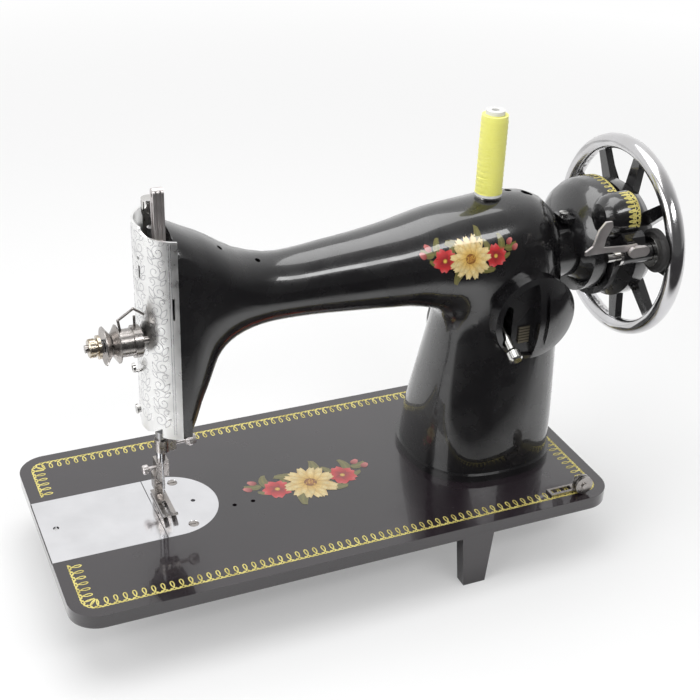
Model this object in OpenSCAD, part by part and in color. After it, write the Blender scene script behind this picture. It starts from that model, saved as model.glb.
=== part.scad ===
// Household lockstitch sewing machine with a flat bed, hand wheel and bobbin winder.
// X runs from the needle end to the hand wheel, Y from the operator to the back,
// Z up. The part stands on its legs and race body, at Z = 0.

/* [Bed] */
// Length of the bed
bed_l = 371.5; // [340:0.5:420]
// Width of the bed, operator's edge to back edge
bed_w = 178; // [168:1:215]
// Distance of the arm's centre line from the operator's edge
arm_y = 91.5; // [84:0.5:108]
// Radius of the bed's corners
bed_r = 19; // [12:1:26]
// Thickness of the bed plate
bed_t = 4.5; // [4:0.5:6]
// Depth of the bed's rim, from its top face
rim_h = 9; // [8:0.5:12]
// Width of the bed's rim
rim_w = 5; // [4:0.5:8]
// Height of the bed's top above the table
foot_h = 48; // [46:1:60]
// Distance from the bed's left end to the middle of the right-hand legs
leg_x = 266.5; // [262:0.5:300]
// Radius of the two hinge-pin holes in the back edge
hinge_r = 4; // [3:0.1:4.5]
// Depth of the hinge-pin holes
hinge_deep = 20; // [12:1:30]
// Distance between the two hinge-pin holes
hinge_gap = 226; // [180:1:240]

/* [Arm] */
// Height of the main shaft above the bed
shaft_z = 147; // [140:1:177]
// Distance from the bed's left end to the middle of the pillar
pillar_x = 309; // [300:1:318]
// Half the depth of the pillar's foot
pillar_d = 48; // [44:1:54]
// Wall thickness of the casting
arm_wall = 6; // [5:0.5:8]
// Centre of the face plate's bow, from the bed's left end
head_x = 97; // [94:0.5:100]
// Outer radius of the face plate's bow
face_r = 28; // [27:0.5:30]
// Thickness of the face plate
face_t = 1.4; // [1:0.1:1.6]
// Height of the head's lower end above the bed
head_z = 66.5; // [62:0.5:70]

/* [Plates] */
// Width of the slide plate and the needle plate
plate_w = 66; // [60:1:70]
// Distance from the bed's left end to the joint of the two plates
plate_joint = 74; // [70:0.5:76]
// Thickness of the slide plate
slide_t = 1.6; // [1.2:0.1:2]
// Thickness of the needle plate
needle_plate_t = 2.2; // [2:0.1:3]

/* [Needle and presser] */
// Distance from the bed's left end to the needle bar
needle_x = 81; // [80:0.5:82]
// Distance of the presser bar behind the needle bar
presser_y = 13.5; // [13:0.5:16]
// Distance of the presser bar to the right of the needle bar
presser_dx = 2.5; // [0:0.5:3]
// Radius of the needle bar
needle_bar_r = 3.3; // [3:0.1:3.6]
// Radius of the presser bar
presser_bar_r = 3; // [2.8:0.1:3.4]
// Full travel of the needle bar
stroke = 30; // [26:1:32]
// Height of the presser foot's sole above the bed
sole_z = 0.4; // [0.3:0.1:3]

/* [Shafts] */
// Radius of the main shaft
shaft_r = 7; // [6:0.5:8]
// Radius of the shafts under the bed
rock_r = 4.5; // [4:0.25:5]
// Radius of the shuttle race's outside
race_r = 21; // [20:0.5:22]
// Running clearance of a shaft in its bearing, on the radius
run_gap = 0.05; // [0.03:0.01:0.09]

/* [Hand wheel] */
// Outer radius of the hand wheel
wheel_r = 70; // [66:0.2:88]
// Distance from the bed's left end to the middle of the wheel's rim
wheel_x = 411; // [410:0.5:416]
// Radius of the belt pulley
pulley_r = 40.5; // [38:0.5:43]
// Number of spokes
spokes = 9; // [7:1:11]

/* [Hidden] */
$fn = 64;

shell_gap = 0.3;
back_y = bed_w - arm_y;
front_y = -arm_y;
screw_r = 1.75;
wheel_half = 6.5;
clamp_len = 9;
overall_l = wheel_x + wheel_half + clamp_len;

module place() {
    translate([-overall_l / 2, arm_y - bed_w / 2, foot_h]) children();
}

// A round bar along X, Y or Z, from a to b on that axis.
module bar_x(r, a, b, y = 0, z = 0) {
    translate([a, y, z]) rotate([0, 90, 0]) cylinder(r = r, h = b - a);
}
module bar_y(r, a, b, x = 0, z = 0) {
    translate([x, a, z]) rotate([-90, 0, 0]) cylinder(r = r, h = b - a);
}
module bar_z(r, a, b, x = 0, y = 0) {
    translate([x, y, a]) cylinder(r = r, h = b - a);
}
// A round rod between two points.
module rod(r, a, b) {
    d = b - a;
    translate(a) rotate([0, acos(d[2] / norm(d)), atan2(d[1], d[0])]) cylinder(r = r, h = norm(d));
}
module box(a, b) {
    translate(a) cube(b - a);
}
// A solid of revolution about the X axis through (y, z): points are [radius, x].
module turn_x(points, y = 0, z = 0) {
    translate([0, y, z]) rotate([0, 90, 0]) rotate_extrude() polygon(points);
}
// A flat profile in the YZ plane, as thick as b - a along X: points are [y, z].
module slab_x(points, a, b) {
    translate([a, 0, 0]) rotate([90, 0, 90]) linear_extrude(b - a) polygon(points);
}
// A flat profile in the XZ plane, from y = a to y = b: points are [x, z].
module slab_y(points, a, b) {
    translate([0, b, 0]) rotate([90, 0, 0]) linear_extrude(b - a) polygon(points);
}
// A flat profile in the XY plane, from z = a to z = b: points are [x, y].
module slab_z(points, a, b) {
    translate([0, 0, a]) linear_extrude(b - a) polygon(points);
}
// A solid of revolution about the Y axis: points are [radius, y].
module turn_y(points) {
    rotate([-90, 0, 0]) rotate_extrude() polygon(points);
}
// A cheese-head screw along +Z, its head's top face at z = 0.
module slotted_head(r, h) {
    difference() {
        bar_z(r, -h, 0);
        box([-r - 1, -0.4, -0.45 * h], [r + 1, 0.4, 1]);
    }
}
module rounded_rect(x0, x1, y0, y1, r) {
    translate([x0 + r, y0]) square([x1 - x0 - 2 * r, y1 - y0]);
    translate([x0, y0 + r]) square([x1 - x0, y1 - y0 - 2 * r]);
    for (x = [x0 + r, x1 - r], y = [y0 + r, y1 - r])
        translate([x, y]) circle(r);
}

// ---- Lofted casting: rings between an inner and an outer outline point ----
function spow(v, e) = sign(v) * pow(abs(v), e);
function ring(s, n, inset) = let(
        mid = [(s[0] + s[2]) / 2, (s[1] + s[3]) / 2],
        half = [(s[2] - s[0]) / 2, (s[3] - s[1]) / 2],
        k = 1 - inset / norm(half))
    [for (i = [0:n - 1]) let(a = 360 * i / n, u = spow(cos(a), 2 / s[5]) * k,
            v = spow(sin(a), 2 / s[5]) * (s[4] - inset))
        [mid[0] + half[0] * u, v, mid[1] + half[1] * u]];
function blend(p, q, r, s, t) = 0.5 * (2 * q + (r - p) * t + (2 * p - 5 * q + 4 * r - s) * t * t
    + (3 * q - p - 3 * r + s) * t * t * t);
function smooth(p, k) = [for (i = [0:len(p) - 2], j = [0:k - 1])
        blend(p[max(i - 1, 0)], p[i], p[i + 1], p[min(i + 2, len(p) - 1)], j / k), p[len(p) - 1]];
module loft(stations, n, inset = 0) {
    m = len(stations);
    points = [for (s = stations) each ring(s, n, inset)];
    sides = [for (i = [0:m - 2], j = [0:n - 1]) let(j2 = (j + 1) % n)
        each [[i * n + j, (i + 1) * n + j2, i * n + j2], [i * n + j, (i + 1) * n + j, (i + 1) * n + j2]]];
    polyhedron(points, concat(sides, [[for (j = [0:n - 1]) j],
        [for (j = [0:n - 1]) (m - 1) * n + n - 1 - j]]));
}
// A station is [inner x, inner z, outer x, outer z, half depth, squareness].
// Pillar heights are shares of the shaft's height; the rest is offset from the shaft.
px = pillar_x;
sz = shaft_z;
arm_span = px - head_x;
pillar_stations = [
    [px - 51, 0, px + 50, 0, pillar_d, 2.5],
    [px - 49, 0.2 * sz, px + 52, 0.2 * sz, 0.92 * pillar_d, 2.5],
    [px - 43.5, 0.4 * sz, px + 52, 0.4 * sz, 0.84 * pillar_d, 2.5],
    [px - 38, 0.6 * sz, px + 52, 0.61 * sz, 0.77 * pillar_d, 2.4],
    [px - 36, sz - 43, px + 52, sz - 32, 0.71 * pillar_d, 2.3],
    [px - 37, sz - 35, px + 51, sz - 5, 0.7 * pillar_d, 2.3]];
arm_stations = [
    [px - 41.5, sz - 30, px + 46, sz + 21, 34, 2.3],
    [px - 49, sz - 27, px + 33, sz + 38, 34.5, 2.2],
    [px - 59, sz - 25.2, px + 12, sz + 43.5, 34, 2.1],
    [px - 69, sz - 23.8, px - 16, sz + 42.5, 32, 2],
    [px - 80, sz - 23, px - 45, sz + 39.3, 30, 2],
    [head_x + 0.57 * arm_span, sz - 22, head_x + 0.665 * arm_span, sz + 33.5, 27.5, 2],
    [head_x + 0.5 * arm_span, sz - 21, head_x + 0.547 * arm_span, sz + 29.5, 25.5, 2],
    [head_x + 0.42 * arm_span, sz - 19.8, head_x + 0.43 * arm_span, sz + 26.7, 23.5, 2],
    [head_x + 0.335 * arm_span, sz - 19.2, head_x + 0.335 * arm_span, sz + 24.5, 22, 2],
    [head_x + 0.255 * arm_span, sz - 19.6, head_x + 0.255 * arm_span, sz + 25, 22, 2],
    [head_x + 41, sz - 21.2, head_x + 34, sz + 31, 23.5, 2.2]];
head_stations = [
    [head_x + 31, sz - 25, head_x + 18, sz + 41, 25, 2.4],
    [head_x + 24, sz - 30, head_x + 3, sz + 48.5, 26, 2.6],
    [head_x + 19, sz - 36.5, head_x - 17, sz + 55, 26.5, 3],
    [head_x + 15.5, sz - 44, head_x - 28, sz + 33, 26.5, 3.4],
    [head_x + 12, sz - 52, head_x - 28, sz - 7, 26.5, 3.4],
    [head_x + 8, sz - 60, head_x - 28, sz - 42, 26.5, 3.4],
    [head_x + 4, sz - 71, head_x - 28, sz - 67, 26.5, 3.4],
    [head_x, head_z, head_x - 28, head_z, 26, 3.4]];
casting = concat(pillar_stations, arm_stations, head_stations);
hollow = concat([[px - 51, -2, px + 50, -2, pillar_d, 2.5]], pillar_stations, arm_stations);

// ---- Axes and planes that several pieces share ----
presser_x = needle_x + presser_dx;
seam_x = 88;
lifter_x = seam_x + 4;
crank_x = seam_x + 11;
crank_r = stroke / 2;
link_len = 42;
stud_z = sz + crank_r - link_len;
link_eye_r = 4.5;
link_x = seam_x - 0.5;
pitman_x = px - 13;
pitman_e = 6;
feed_cam_x = px + 13;
feed_cam_e = 3;
feed_cam_r = 12;
bush_r = shaft_r + 4.5;
bell_x = wheel_x - 30;
regulator_y = -22;
regulator_z = sz - 32;
dome_x = px + 16;
dome_z = sz - 31;
dome_r = 29.5;
dome_y = -pillar_d + 8;
cover_x = px + 13;
cover_z = 0.55 * sz;
cover_r = 33;
cover_y = 0.86 * pillar_d;
bell_r = 22;
hood_r = 44;
hood_x = wheel_x - 18;
lobe_r = 15;
lobe_y = -37;
lobe_z = sz + 34;
guard_screw = [px + 49.5, -8];
face_screw = [8, head_z + 7];
clamp_z = 48.5;
rim_r = 5.2;
rim_section = [for (a = [0:20:340]) [wheel_r - rim_r + rim_r * cos(a), wheel_x + wheel_half * sin(a)]];
guide_x = bed_l - 22.5;
guide_y = front_y + 13.5;
hinge_x = [leg_x + 40 - hinge_gap, leg_x + 40];
rock_hangers = [150, leg_x];
feed_hangers = [108, px + 6];
plate_screw_x = 93.4;
plate_screw_y = 24.4;
guide_eye = [-3, sz - 39.5];
shank_screw_z = 22.5;
spoke_turn = -29;
hook_z = -(foot_h - race_r);
hook_r = race_r - 6;
race_x0 = needle_x - 19;
race_x1 = needle_x + 9;
rock_y = 24;
rock_z = hook_z;
feed_y = 45;
feed_z = -22;
feed_pin_y = 38;
feed_pin_z = -8.4;
spindle_y = -54;
spindle_z = sz + 13;
latch_plate = [[-69, 8.3], [-52, 8.3], [-30.5, 6], [-30.5, 11], [-37, 10.8], [-56, 12], [-55, 18.5],
    [-51, 26], [-52, 29.5], [-56.5, 29.7], [-61, 24.5], [-64, 14], [-69, 10.8]];
latch_stem = [[-36, 5], [-31, 10], [-26.4, 9], [-26.4, 4]];
spool_x = px - 5;
spool_top = sz + 42.8;
tension_y = -11.5;
tension_z = sz - 14;
lever_x0 = needle_x - 3;
lever_x1 = needle_x + 3.5;
lever_y0 = -15;
lever_y1 = -8.5;
lifter_z = sz - 23;
bracket_z = lifter_z + 2.2;
knob_z = sz + 56.5;
// Outer face of the face plate, at its foremost line.
face_x = head_x - face_r;
disc_x = face_x - 19.5;
guard_wire = [[face_x - 13.3, tension_y, tension_z + 8], [face_x - 14.4, tension_y, tension_z + 15.5],
    [face_x - 4.9, tension_y, tension_z + 21.8], [face_x + 1.4, tension_y, tension_z + 17]];

// ================= Castings =================
module leg(y, side) {
    // Tapered leg with its flat foot, flush with the rim, and its web.
    slab_y([[leg_x - 12, -bed_t], [leg_x + 12, -bed_t], [leg_x + 8, -foot_h], [leg_x - 8, -foot_h]],
        min(y, y + side * 9), max(y, y + side * 9));
    slab_x([[y, -bed_t], [y + side * 24, -bed_t], [y + side * 8, -foot_h + 14], [y, -foot_h + 14]],
        leg_x - 3, leg_x + 3);
}
module hanger(x, y, z, r) {
    // Bearing lug under the bed: a strap down to a round eye.
    box([x - 5, y - r - 3, z], [x + 5, y + r + 3, -bed_t]);
    bar_x(r + 3.5, x - 5, x + 5, y, z);
}
module bed() color("#141416") place() difference() {
    union() {
        translate([0, 0, -bed_t]) linear_extrude(bed_t)
            rounded_rect(0, bed_l, front_y, back_y, bed_r);
        difference() {
            translate([0, 0, -rim_h]) linear_extrude(rim_h - 1)
                rounded_rect(0, bed_l, front_y, back_y, bed_r);
            translate([0, 0, -rim_h - 1]) linear_extrude(rim_h + 1)
                rounded_rect(rim_w, bed_l - rim_w, front_y + rim_w, back_y - rim_w, bed_r - rim_w);
        }
        leg(front_y, 1);
        leg(back_y, -1);
        for (x = rock_hangers) hanger(x, rock_y, rock_z, rock_r);
        for (x = feed_hangers, y = [-feed_y, feed_y]) hanger(x, y, feed_z, rock_r);
        for (x = hinge_x)
            bar_y(hinge_r + 4, back_y - hinge_deep - 3, back_y - 1, x, -hinge_r - 4);
        for (s = [-1, 1]) bar_z(4, -bed_t - 3, -bed_t + 1, plate_screw_x, s * plate_screw_y);
        // Seat of the shuttle race body.
        box([race_x1 + 2, -14, -bed_t - 9], [race_x1 + 14, 14, -bed_t]);
    }
    for (x = rock_hangers) bar_x(rock_r + run_gap, x - 6, x + 6, rock_y, rock_z);
    for (x = feed_hangers, y = [-feed_y, feed_y])
        bar_x(rock_r + run_gap, x - 6, x + 6, y, feed_z);
    for (x = hinge_x) bar_y(hinge_r, back_y - hinge_deep, back_y + 1, x, -hinge_r - 4);
    // Seat and opening of the slide plate.
    box([-1, -plate_w / 2 - 0.15, -slide_t - 0.1], [plate_joint, plate_w / 2 + 0.15, 1]);
    box([8, -plate_w / 2 + 5, -bed_t - 1], [plate_joint, plate_w / 2 - 5, 1]);
    // Seat and opening of the needle plate.
    needle_plate_shape(0.15, needle_plate_t, 1);
    box([plate_joint - 1, -18, -bed_t - 1], [race_x1 + 2, 18, 1]);
    for (s = [-1, 1]) bar_z(screw_r, -bed_t - 4, 1, plate_screw_x, s * plate_screw_y);
    // Oil holes, and the way through under the pillar.
    for (x = [124.5, 137.4]) bar_z(1.5, -bed_t - 1, 1, x, -14.5);
    box([px - 24, -36, -bed_t - 1], [px + 26, 32, 1]);
    for (s = [-1, 1]) bar_z(3.2, -bed_t - 1, 1, px + s * 37, 0);
    bar_z(2, -bed_t - 1, 1, guide_x, guide_y);
}
module arm() color("#141416") place() difference() {
    union() {
        difference() {
            union() {
                loft(smooth(casting, 2), 40);
                // Bead round the pillar's foot.
                linear_extrude(5) polygon([for (i = [0:47]) let(a = 360 * i / 48)
                    [px - 0.5 + 52.5 * spow(cos(a), 0.8), (pillar_d + 2) * spow(sin(a), 0.8)]]);
                // Bell at the wheel end.
                turn_x([[0, px + 30], [bell_r, px + 30], [bell_r, px + 58], [bell_r + 3, px + 62],
                    [29, px + 66], [33, bell_x - 10], [33, bell_x], [0, bell_x]], 0, sz);
                // Dome of the stitch regulator, and the seat of the back cover.
                translate([dome_x, dome_y, dome_z]) rotate([90, 0, 0]) dome_cap(dome_r, 2 * dome_r, 30);
                bar_y(cover_r - 2, 20, cover_y, cover_x, cover_z);
            }
            loft(smooth(hollow, 1), 24, arm_wall);
            // Room inside the bell.
            bar_x(bush_r + 6, px + 42, bell_x + 1, 0, sz);
            regulator_pocket();
        }
        // Bolt bosses in the pillar's foot.
        for (s = [-1, 1]) bar_z(7.5, 0, 16, px + s * 37, 0);
        // Carrier of the rear bush.
        bar_x(bush_r + 7, px + 30, bell_x - 2, 0, sz);
        // Bosses of the regulator's cross pin.
        for (x = [px - 24, px + 32]) bar_x(6, x, x + 6, regulator_y, regulator_z);
        head_bosses();
    }
    head_room();
    // Bearings of the main shaft.
    bar_x(bush_r, seam_x + 20, px - 50, 0, sz);
    bar_x(bush_r, px + 29, bell_x + 1, 0, sz);
    head_bores();
    bar_x(3 + run_gap, px - 23, px + 37, regulator_y, regulator_z);
    // Inspection opening in the pillar's back.
    bar_y(cover_r - 9, 15, pillar_d + 2, cover_x, cover_z);
    bar_y(cover_r + 0.5, cover_y, pillar_d + 2, cover_x, cover_z);
    bar_y(1.9, cover_y - 14, cover_y + 1, cover_x, cover_z + cover_r - 5);
    // Seat of the spool pin and the two oil holes beside it.
    bar_z(2.2, spool_top - 12, spool_top + 9, spool_x, 0);
    bar_z(9, spool_top, spool_top + 9, spool_x, 0);
    bar_z(2.4, sz + 20, sz + 60, px + 12, 4);
    bar_z(4, sz + 20, sz + 60, px + 24, 0);
    for (s = [-1, 1]) bar_z(2.6, -1, 12, px + s * 37, 0);
    for (x = [head_x + 22, head_x + 46]) bar_z(1.6, sz + 10, sz + 50, x, -8);
    // Tapped hole of the guard's screw.
    bar_z(1.4, sz + bell_r - 5, sz + 60, guard_screw[0], guard_screw[1]);
}
module dome_cap(r, ball, deep = 0) {
    rise = ball - sqrt(ball * ball - r * r);
    intersection() {
        translate([0, 0, rise - ball]) sphere(ball, $fn = 96);
        bar_z(r, -deep, rise + 1);
    }
}
module regulator_pocket() {
    // Sunk left half of the dome, a groove beside it, and the lever's slot.
    intersection() {
        bar_y(dome_r - 3.5, dome_y - 20, dome_y + 0.7, dome_x, dome_z);
        box([dome_x - dome_r - 3, dome_y - 21, dome_z - dome_r - 3],
            [dome_x - 1, dome_y + 3, dome_z + dome_r + 3]);
    }
    box([dome_x + 3, dome_y - 20, dome_z - dome_r - 3], [dome_x + 6, dome_y - 4.5, dome_z + dome_r + 3]);
    bar_y(3.5, -pillar_d - 8, -20, px - 4.5, dome_z - 13.5);
    bar_y(3.5, -pillar_d - 8, -20, px - 4.5, dome_z + 8.5);
    box([px - 8, -pillar_d - 8, dome_z - 13.5], [px - 1, -20, dome_z + 8.5]);
}
module head_bosses() {
    // Lower and upper bearing blocks of the needle bar and the presser bar.
    for (z = [[head_z + 1, head_z + 13], [sz + 20, sz + 41]])
        intersection() {
            bar_z(face_r - face_t - shell_gap, z[0], z[1], head_x, 0);
            box([needle_x - 7, -face_r, 0], [seam_x + 6, face_r, sz + 60]);
        }
}
module head_room() {
    // Everything left of the seam is open but for the bearing blocks.
    difference() {
        box([head_x - 40, -40, head_z - 5], [seam_x, 40, sz + 70]);
        head_bosses();
    }
    slab_y([[seam_x - 3, head_z + 13], [head_x - 1, head_z + 13], [head_x, head_z + 20],
        [head_x + 8, sz - 36], [head_x + 15, sz - 20], [head_x + 15, sz + 18], [head_x + 2, sz + 38],
        [seam_x - 3, sz + 41]], -crank_r - 6, crank_r + 6);
}
module head_bores() {
    bar_z(needle_bar_r + run_gap, head_z, sz + 60, needle_x, 0);
    bar_z(presser_bar_r + run_gap, head_z, sz + 10, presser_x, presser_y);
    bar_z(4.75, sz + 10, sz + 60, presser_x, presser_y);
    box([lever_x0 - 0.15, lever_y0 - 0.15, sz], [lever_x1 + 0.15, lever_y1 + 0.15, sz + 60]);
    // The lifter's shaft goes out through the back wall.
    bar_y(2.5 + run_gap, crank_r, face_r + 4, lifter_x, lifter_z);
    bar_x(1.55, face_x, needle_x - 3, face_screw[0], face_screw[1]);
}
module front_bush() color("#9a8a55") place() difference() {
    bar_x(bush_r, seam_x + 22, seam_x + 46, 0, sz);
    bar_x(shaft_r + run_gap, seam_x + 21, seam_x + 47, 0, sz);
}
module rear_bush() color("#9a8a55") place() difference() {
    bar_x(bush_r, px + 30, bell_x + 1, 0, sz);
    bar_x(shaft_r + run_gap, px + 29, bell_x + 2, 0, sz);
}

// ================= Covers and plates =================
module face_plate() color("#d8dadd") place() difference() {
    bar_z(face_r, head_z, sz + 57.5, head_x, 0);
    bar_z(face_r - face_t, head_z - 1, sz + 62, head_x, 0);
    box([seam_x, -40, 0], [seam_x + 60, 40, sz + 70]);
    // Scoop for the take-up lever, open at the top, and the lower front shoulder.
    bar_x(9.5, face_x - 2, seam_x + 1, lever_y1 - 7, sz + 62.5);
    box([face_x - 2, -40, sz + 53], [seam_x + 1, lever_y1 - 7, sz + 70]);
    // Rounded lower corners.
    for (s = [-1, 1]) difference() {
        box([head_x - 40, s > 0 ? 6 : -40, head_z - 1], [head_x - 20, s > 0 ? 40 : -6, head_z + 8]);
        bar_x(20, head_x - 41, head_x - 19, s * 4, head_z + 19.5);
    }
    // Two sight slots.
    box([face_x - 1, -8.3, sz + 25], [face_x + 3, -6.5, sz + 33]);
    box([seam_x - 3.8, -face_r, sz + 3], [seam_x - 2.4, -15, sz + 17]);
    bar_x(1.1, face_x - 2, face_x + 6, -6.7, sz + 37.6);
    bar_x(2.45, face_x - 2, head_x, tension_y, tension_z);
    bar_x(1.6, face_x - 2, head_x, face_screw[0], face_screw[1]);
    bar_x(1, face_x - 2, head_x, guide_eye[0], guide_eye[1]);
}
module face_plate_screw() color("#c8cacd") place() {
    translate([face_x - 1.4, face_screw[0], face_screw[1]]) rotate([0, -90, 0]) slotted_head(3.2, 1.6);
    bar_x(1.5, face_x - 0.7, needle_x - 4, face_screw[0], face_screw[1]);
}
module needle_plate_shape(grow, depth, over) {
    translate([0, 0, -depth]) linear_extrude(depth + over) {
        translate([plate_joint + 0.2 - grow, -plate_w / 2 - grow])
            square([9.5 + grow, plate_w + 2 * grow]);
        intersection() {
            translate([plate_joint + 9.5, 0]) circle(plate_w / 2 + grow, $fn = 96);
            translate([plate_joint + 9, -50]) square([100, 100]);
        }
    }
}
module needle_plate() color("#d8dadd") place() difference() {
    needle_plate_shape(0, needle_plate_t, 0);
    bar_z(1, -needle_plate_t - 1, 1, needle_x, 0);
    for (x = [needle_x - 4.6, needle_x + 2.2])
        box([x, -9.5, -needle_plate_t - 1], [x + 2.4, 11.5, 1]);
    bar_z(1.5, -needle_plate_t - 1, 1, plate_joint + 26.4, 0);
    for (s = [-1, 1]) {
        bar_z(screw_r + 0.2, -needle_plate_t - 1, 1, plate_screw_x, s * plate_screw_y);
        translate([plate_screw_x, s * plate_screw_y, -1.3]) cylinder(r1 = 2.2, r2 = 4.1, h = 1.9);
    }
}
module plate_screws() color("#b8babd") place() for (s = [-1, 1])
    translate([plate_screw_x, s * plate_screw_y, 0]) difference() {
        union() {
            translate([0, 0, -1.3]) cylinder(r1 = 2.1, r2 = 3.25, h = 1.2);
            bar_z(screw_r - 0.05, -bed_t - 2, -1.2);
        }
        box([-5, -0.4, -0.7], [5, 0.4, 1]);
    }
module slide_plate() color("#d8dadd") place() difference() {
    union() {
        box([0.4, -plate_w / 2, -slide_t], [plate_joint - 0.3, plate_w / 2, 0]);
        // Finger spring under the plate, which grips the seat's edges.
        box([62, -plate_w / 2 + 5.5, -slide_t - 1.2], [70, plate_w / 2 - 5.5, -slide_t]);
    }
    bar_z(2, -slide_t - 1, 1, 10, 1.5);
}
module back_cover() color("#141416") place() difference() {
    union() {
        bar_y(cover_r, cover_y, cover_y + 3, cover_x, cover_z);
        translate([cover_x, cover_y + 3, cover_z]) rotate([-90, 0, 0]) dome_cap(cover_r - 9.5, 2.4 * cover_r);
        // Spigot that locates the cover in its opening.
        bar_y(cover_r - 9.3, cover_y - 5, cover_y + 1, cover_x, cover_z);
    }
    bar_y(2.2, pillar_d - 20, pillar_d + 5, cover_x, cover_z + cover_r - 5);
    bar_y(cover_r - 13, cover_y - 6, cover_y - 0.1, cover_x, cover_z);
}
module cover_screws() color("#b8babd") place() {
    translate([cover_x, cover_y + 5.4, cover_z + cover_r - 5]) rotate([-90, 0, 0]) slotted_head(4, 2.4);
    bar_y(1.9, cover_y - 8, cover_y + 3.2, cover_x, cover_z + cover_r - 5);
}
module belt_guard() color("#141416") place() difference() {
    union() {
        // Hood over the top of the pulley.
        intersection() {
            turn_x([[bell_r + 0.3, px + 52], [32, px + 56], [39, px + 62], [43, px + 69],
                [hood_r, px + 76], [hood_r, hood_x], [hood_r - 2.5, hood_x], [hood_r - 2.5, px + 76],
                [40.6, px + 70], [37, px + 64], [31, px + 59], [bell_r + 0.3, px + 56]], 0, sz);
            box([px, -60, sz + 4], [px + 200, 60, sz + 60]);
        }
        // Housing of the winder's pivot, in front of the hood.
        difference() {
            turn_x([[0, px + 55], [9, px + 57], [13, px + 61], [lobe_r, px + 67], [lobe_r, hood_x - 5],
                [lobe_r - 1, hood_x - 4], [0, hood_x - 4]], lobe_y, lobe_z);
            bar_x(hood_r - 1, px, px + 200, 0, sz);
        }
        // Ear on the casting's shoulder, under the guard's screw.
        box([px + 46, guard_screw[1] - 7, sz + bell_r + 0.3], [px + 58, guard_screw[1] + 7, sz + bell_r + 3]);
    }
    bar_z(1.6, sz, sz + 60, guard_screw[0], guard_screw[1]);
}
module rear_guard_screw() color("#b8babd") place() {
    translate([guard_screw[0], guard_screw[1], sz + bell_r + 5.3]) slotted_head(3, 2.2);
    bar_z(1.35, sz + bell_r - 4, sz + bell_r + 3.2, guard_screw[0], guard_screw[1]);
}

// ================= Main shaft =================
module arm_shaft() color("#a9abae") place() {
    bar_x(shaft_r, crank_x + 3, wheel_x + wheel_half - 1, 0, sz);
}
module needle_crank() color("#8f9195") place() {
    difference() {
        bar_x(crank_r + 4.5, crank_x, crank_x + 8, 0, sz);
        bar_x(shaft_r, crank_x + 3, crank_x + 9, 0, sz);
    }
    bar_x(3, link_x - 0.6, crank_x + 1, 0, sz + crank_r);
}
module pitman_eccentric() color("#8f9195") place() difference() {
    bar_x(shaft_r + pitman_e + 3, pitman_x, pitman_x + 9, pitman_e, sz);
    bar_x(shaft_r, pitman_x - 1, pitman_x + 10, 0, sz);
}
module feed_cam() color("#8f9195") place() difference() {
    bar_x(feed_cam_r, feed_cam_x, feed_cam_x + 8, 0, sz + feed_cam_e);
    bar_x(shaft_r, feed_cam_x - 1, feed_cam_x + 9, 0, sz);
}
module hand_wheel() color("#2a2a2c") place() difference() {
    union() {
        // Rim, hub and pulley in one casting.
        turn_x(rim_section, 0, sz);
        turn_x([[12, wheel_x - 28], [pulley_r - 3, wheel_x - 28], [pulley_r - 3, wheel_x - 24],
            [pulley_r - 10, wheel_x - 19.5], [pulley_r - 10, wheel_x - 17], [pulley_r, wheel_x - 12.5],
            [pulley_r, wheel_x - 4], [pulley_r - 4, wheel_x + 3], [12, wheel_x + 3]], 0, sz);
        turn_x([[6, wheel_x - 28], [13, wheel_x - 28], [13, wheel_x + 3], [6, wheel_x + 3]], 0, sz);
        for (i = [0:spokes - 1])
            translate([0, 0, sz]) rotate([360 * i / spokes + spoke_turn, 0, 0])
                slab_x([[-5, pulley_r - 5], [5, pulley_r - 5], [3.6, wheel_r - 8], [-3.6, wheel_r - 8]],
                    wheel_x - 2.5, wheel_x + 3);
    }
    bar_x(shaft_r, wheel_x - 40, wheel_x + 40, 0, sz);
    // Dished hub face, and the hollow behind the clamp screw.
    turn_x([[20, wheel_x - 6], [28, wheel_x - 8], [32, wheel_x - 2], [32, wheel_x + 6],
        [20, wheel_x + 6]], 0, sz);
}
module stop_washer() color("#a9abae") place() difference() {
    bar_x(15, wheel_x + 3.2, wheel_x + 4.8, 0, sz);
    bar_x(shaft_r + 0.1, wheel_x, wheel_x + 9, 0, sz);
}
module clamp_screw() color("#d8dadd") place() difference() {
    union() {
        turn_x([[0, wheel_x + 5], [15, wheel_x + 5], [17, wheel_x + 7], [17, wheel_x + 12],
            [14.5, wheel_x + wheel_half + clamp_len], [0, wheel_x + wheel_half + clamp_len]], 0, sz);
    }
    bar_x(shaft_r + 0.1, wheel_x, wheel_x + wheel_half - 0.8, 0, sz);
    for (i = [0:17]) translate([0, 0, sz]) rotate([i * 20, 0, 0])
        box([wheel_x + 7, -0.7, 16.4], [wheel_x + 12, 0.7, 18]);
}

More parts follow.
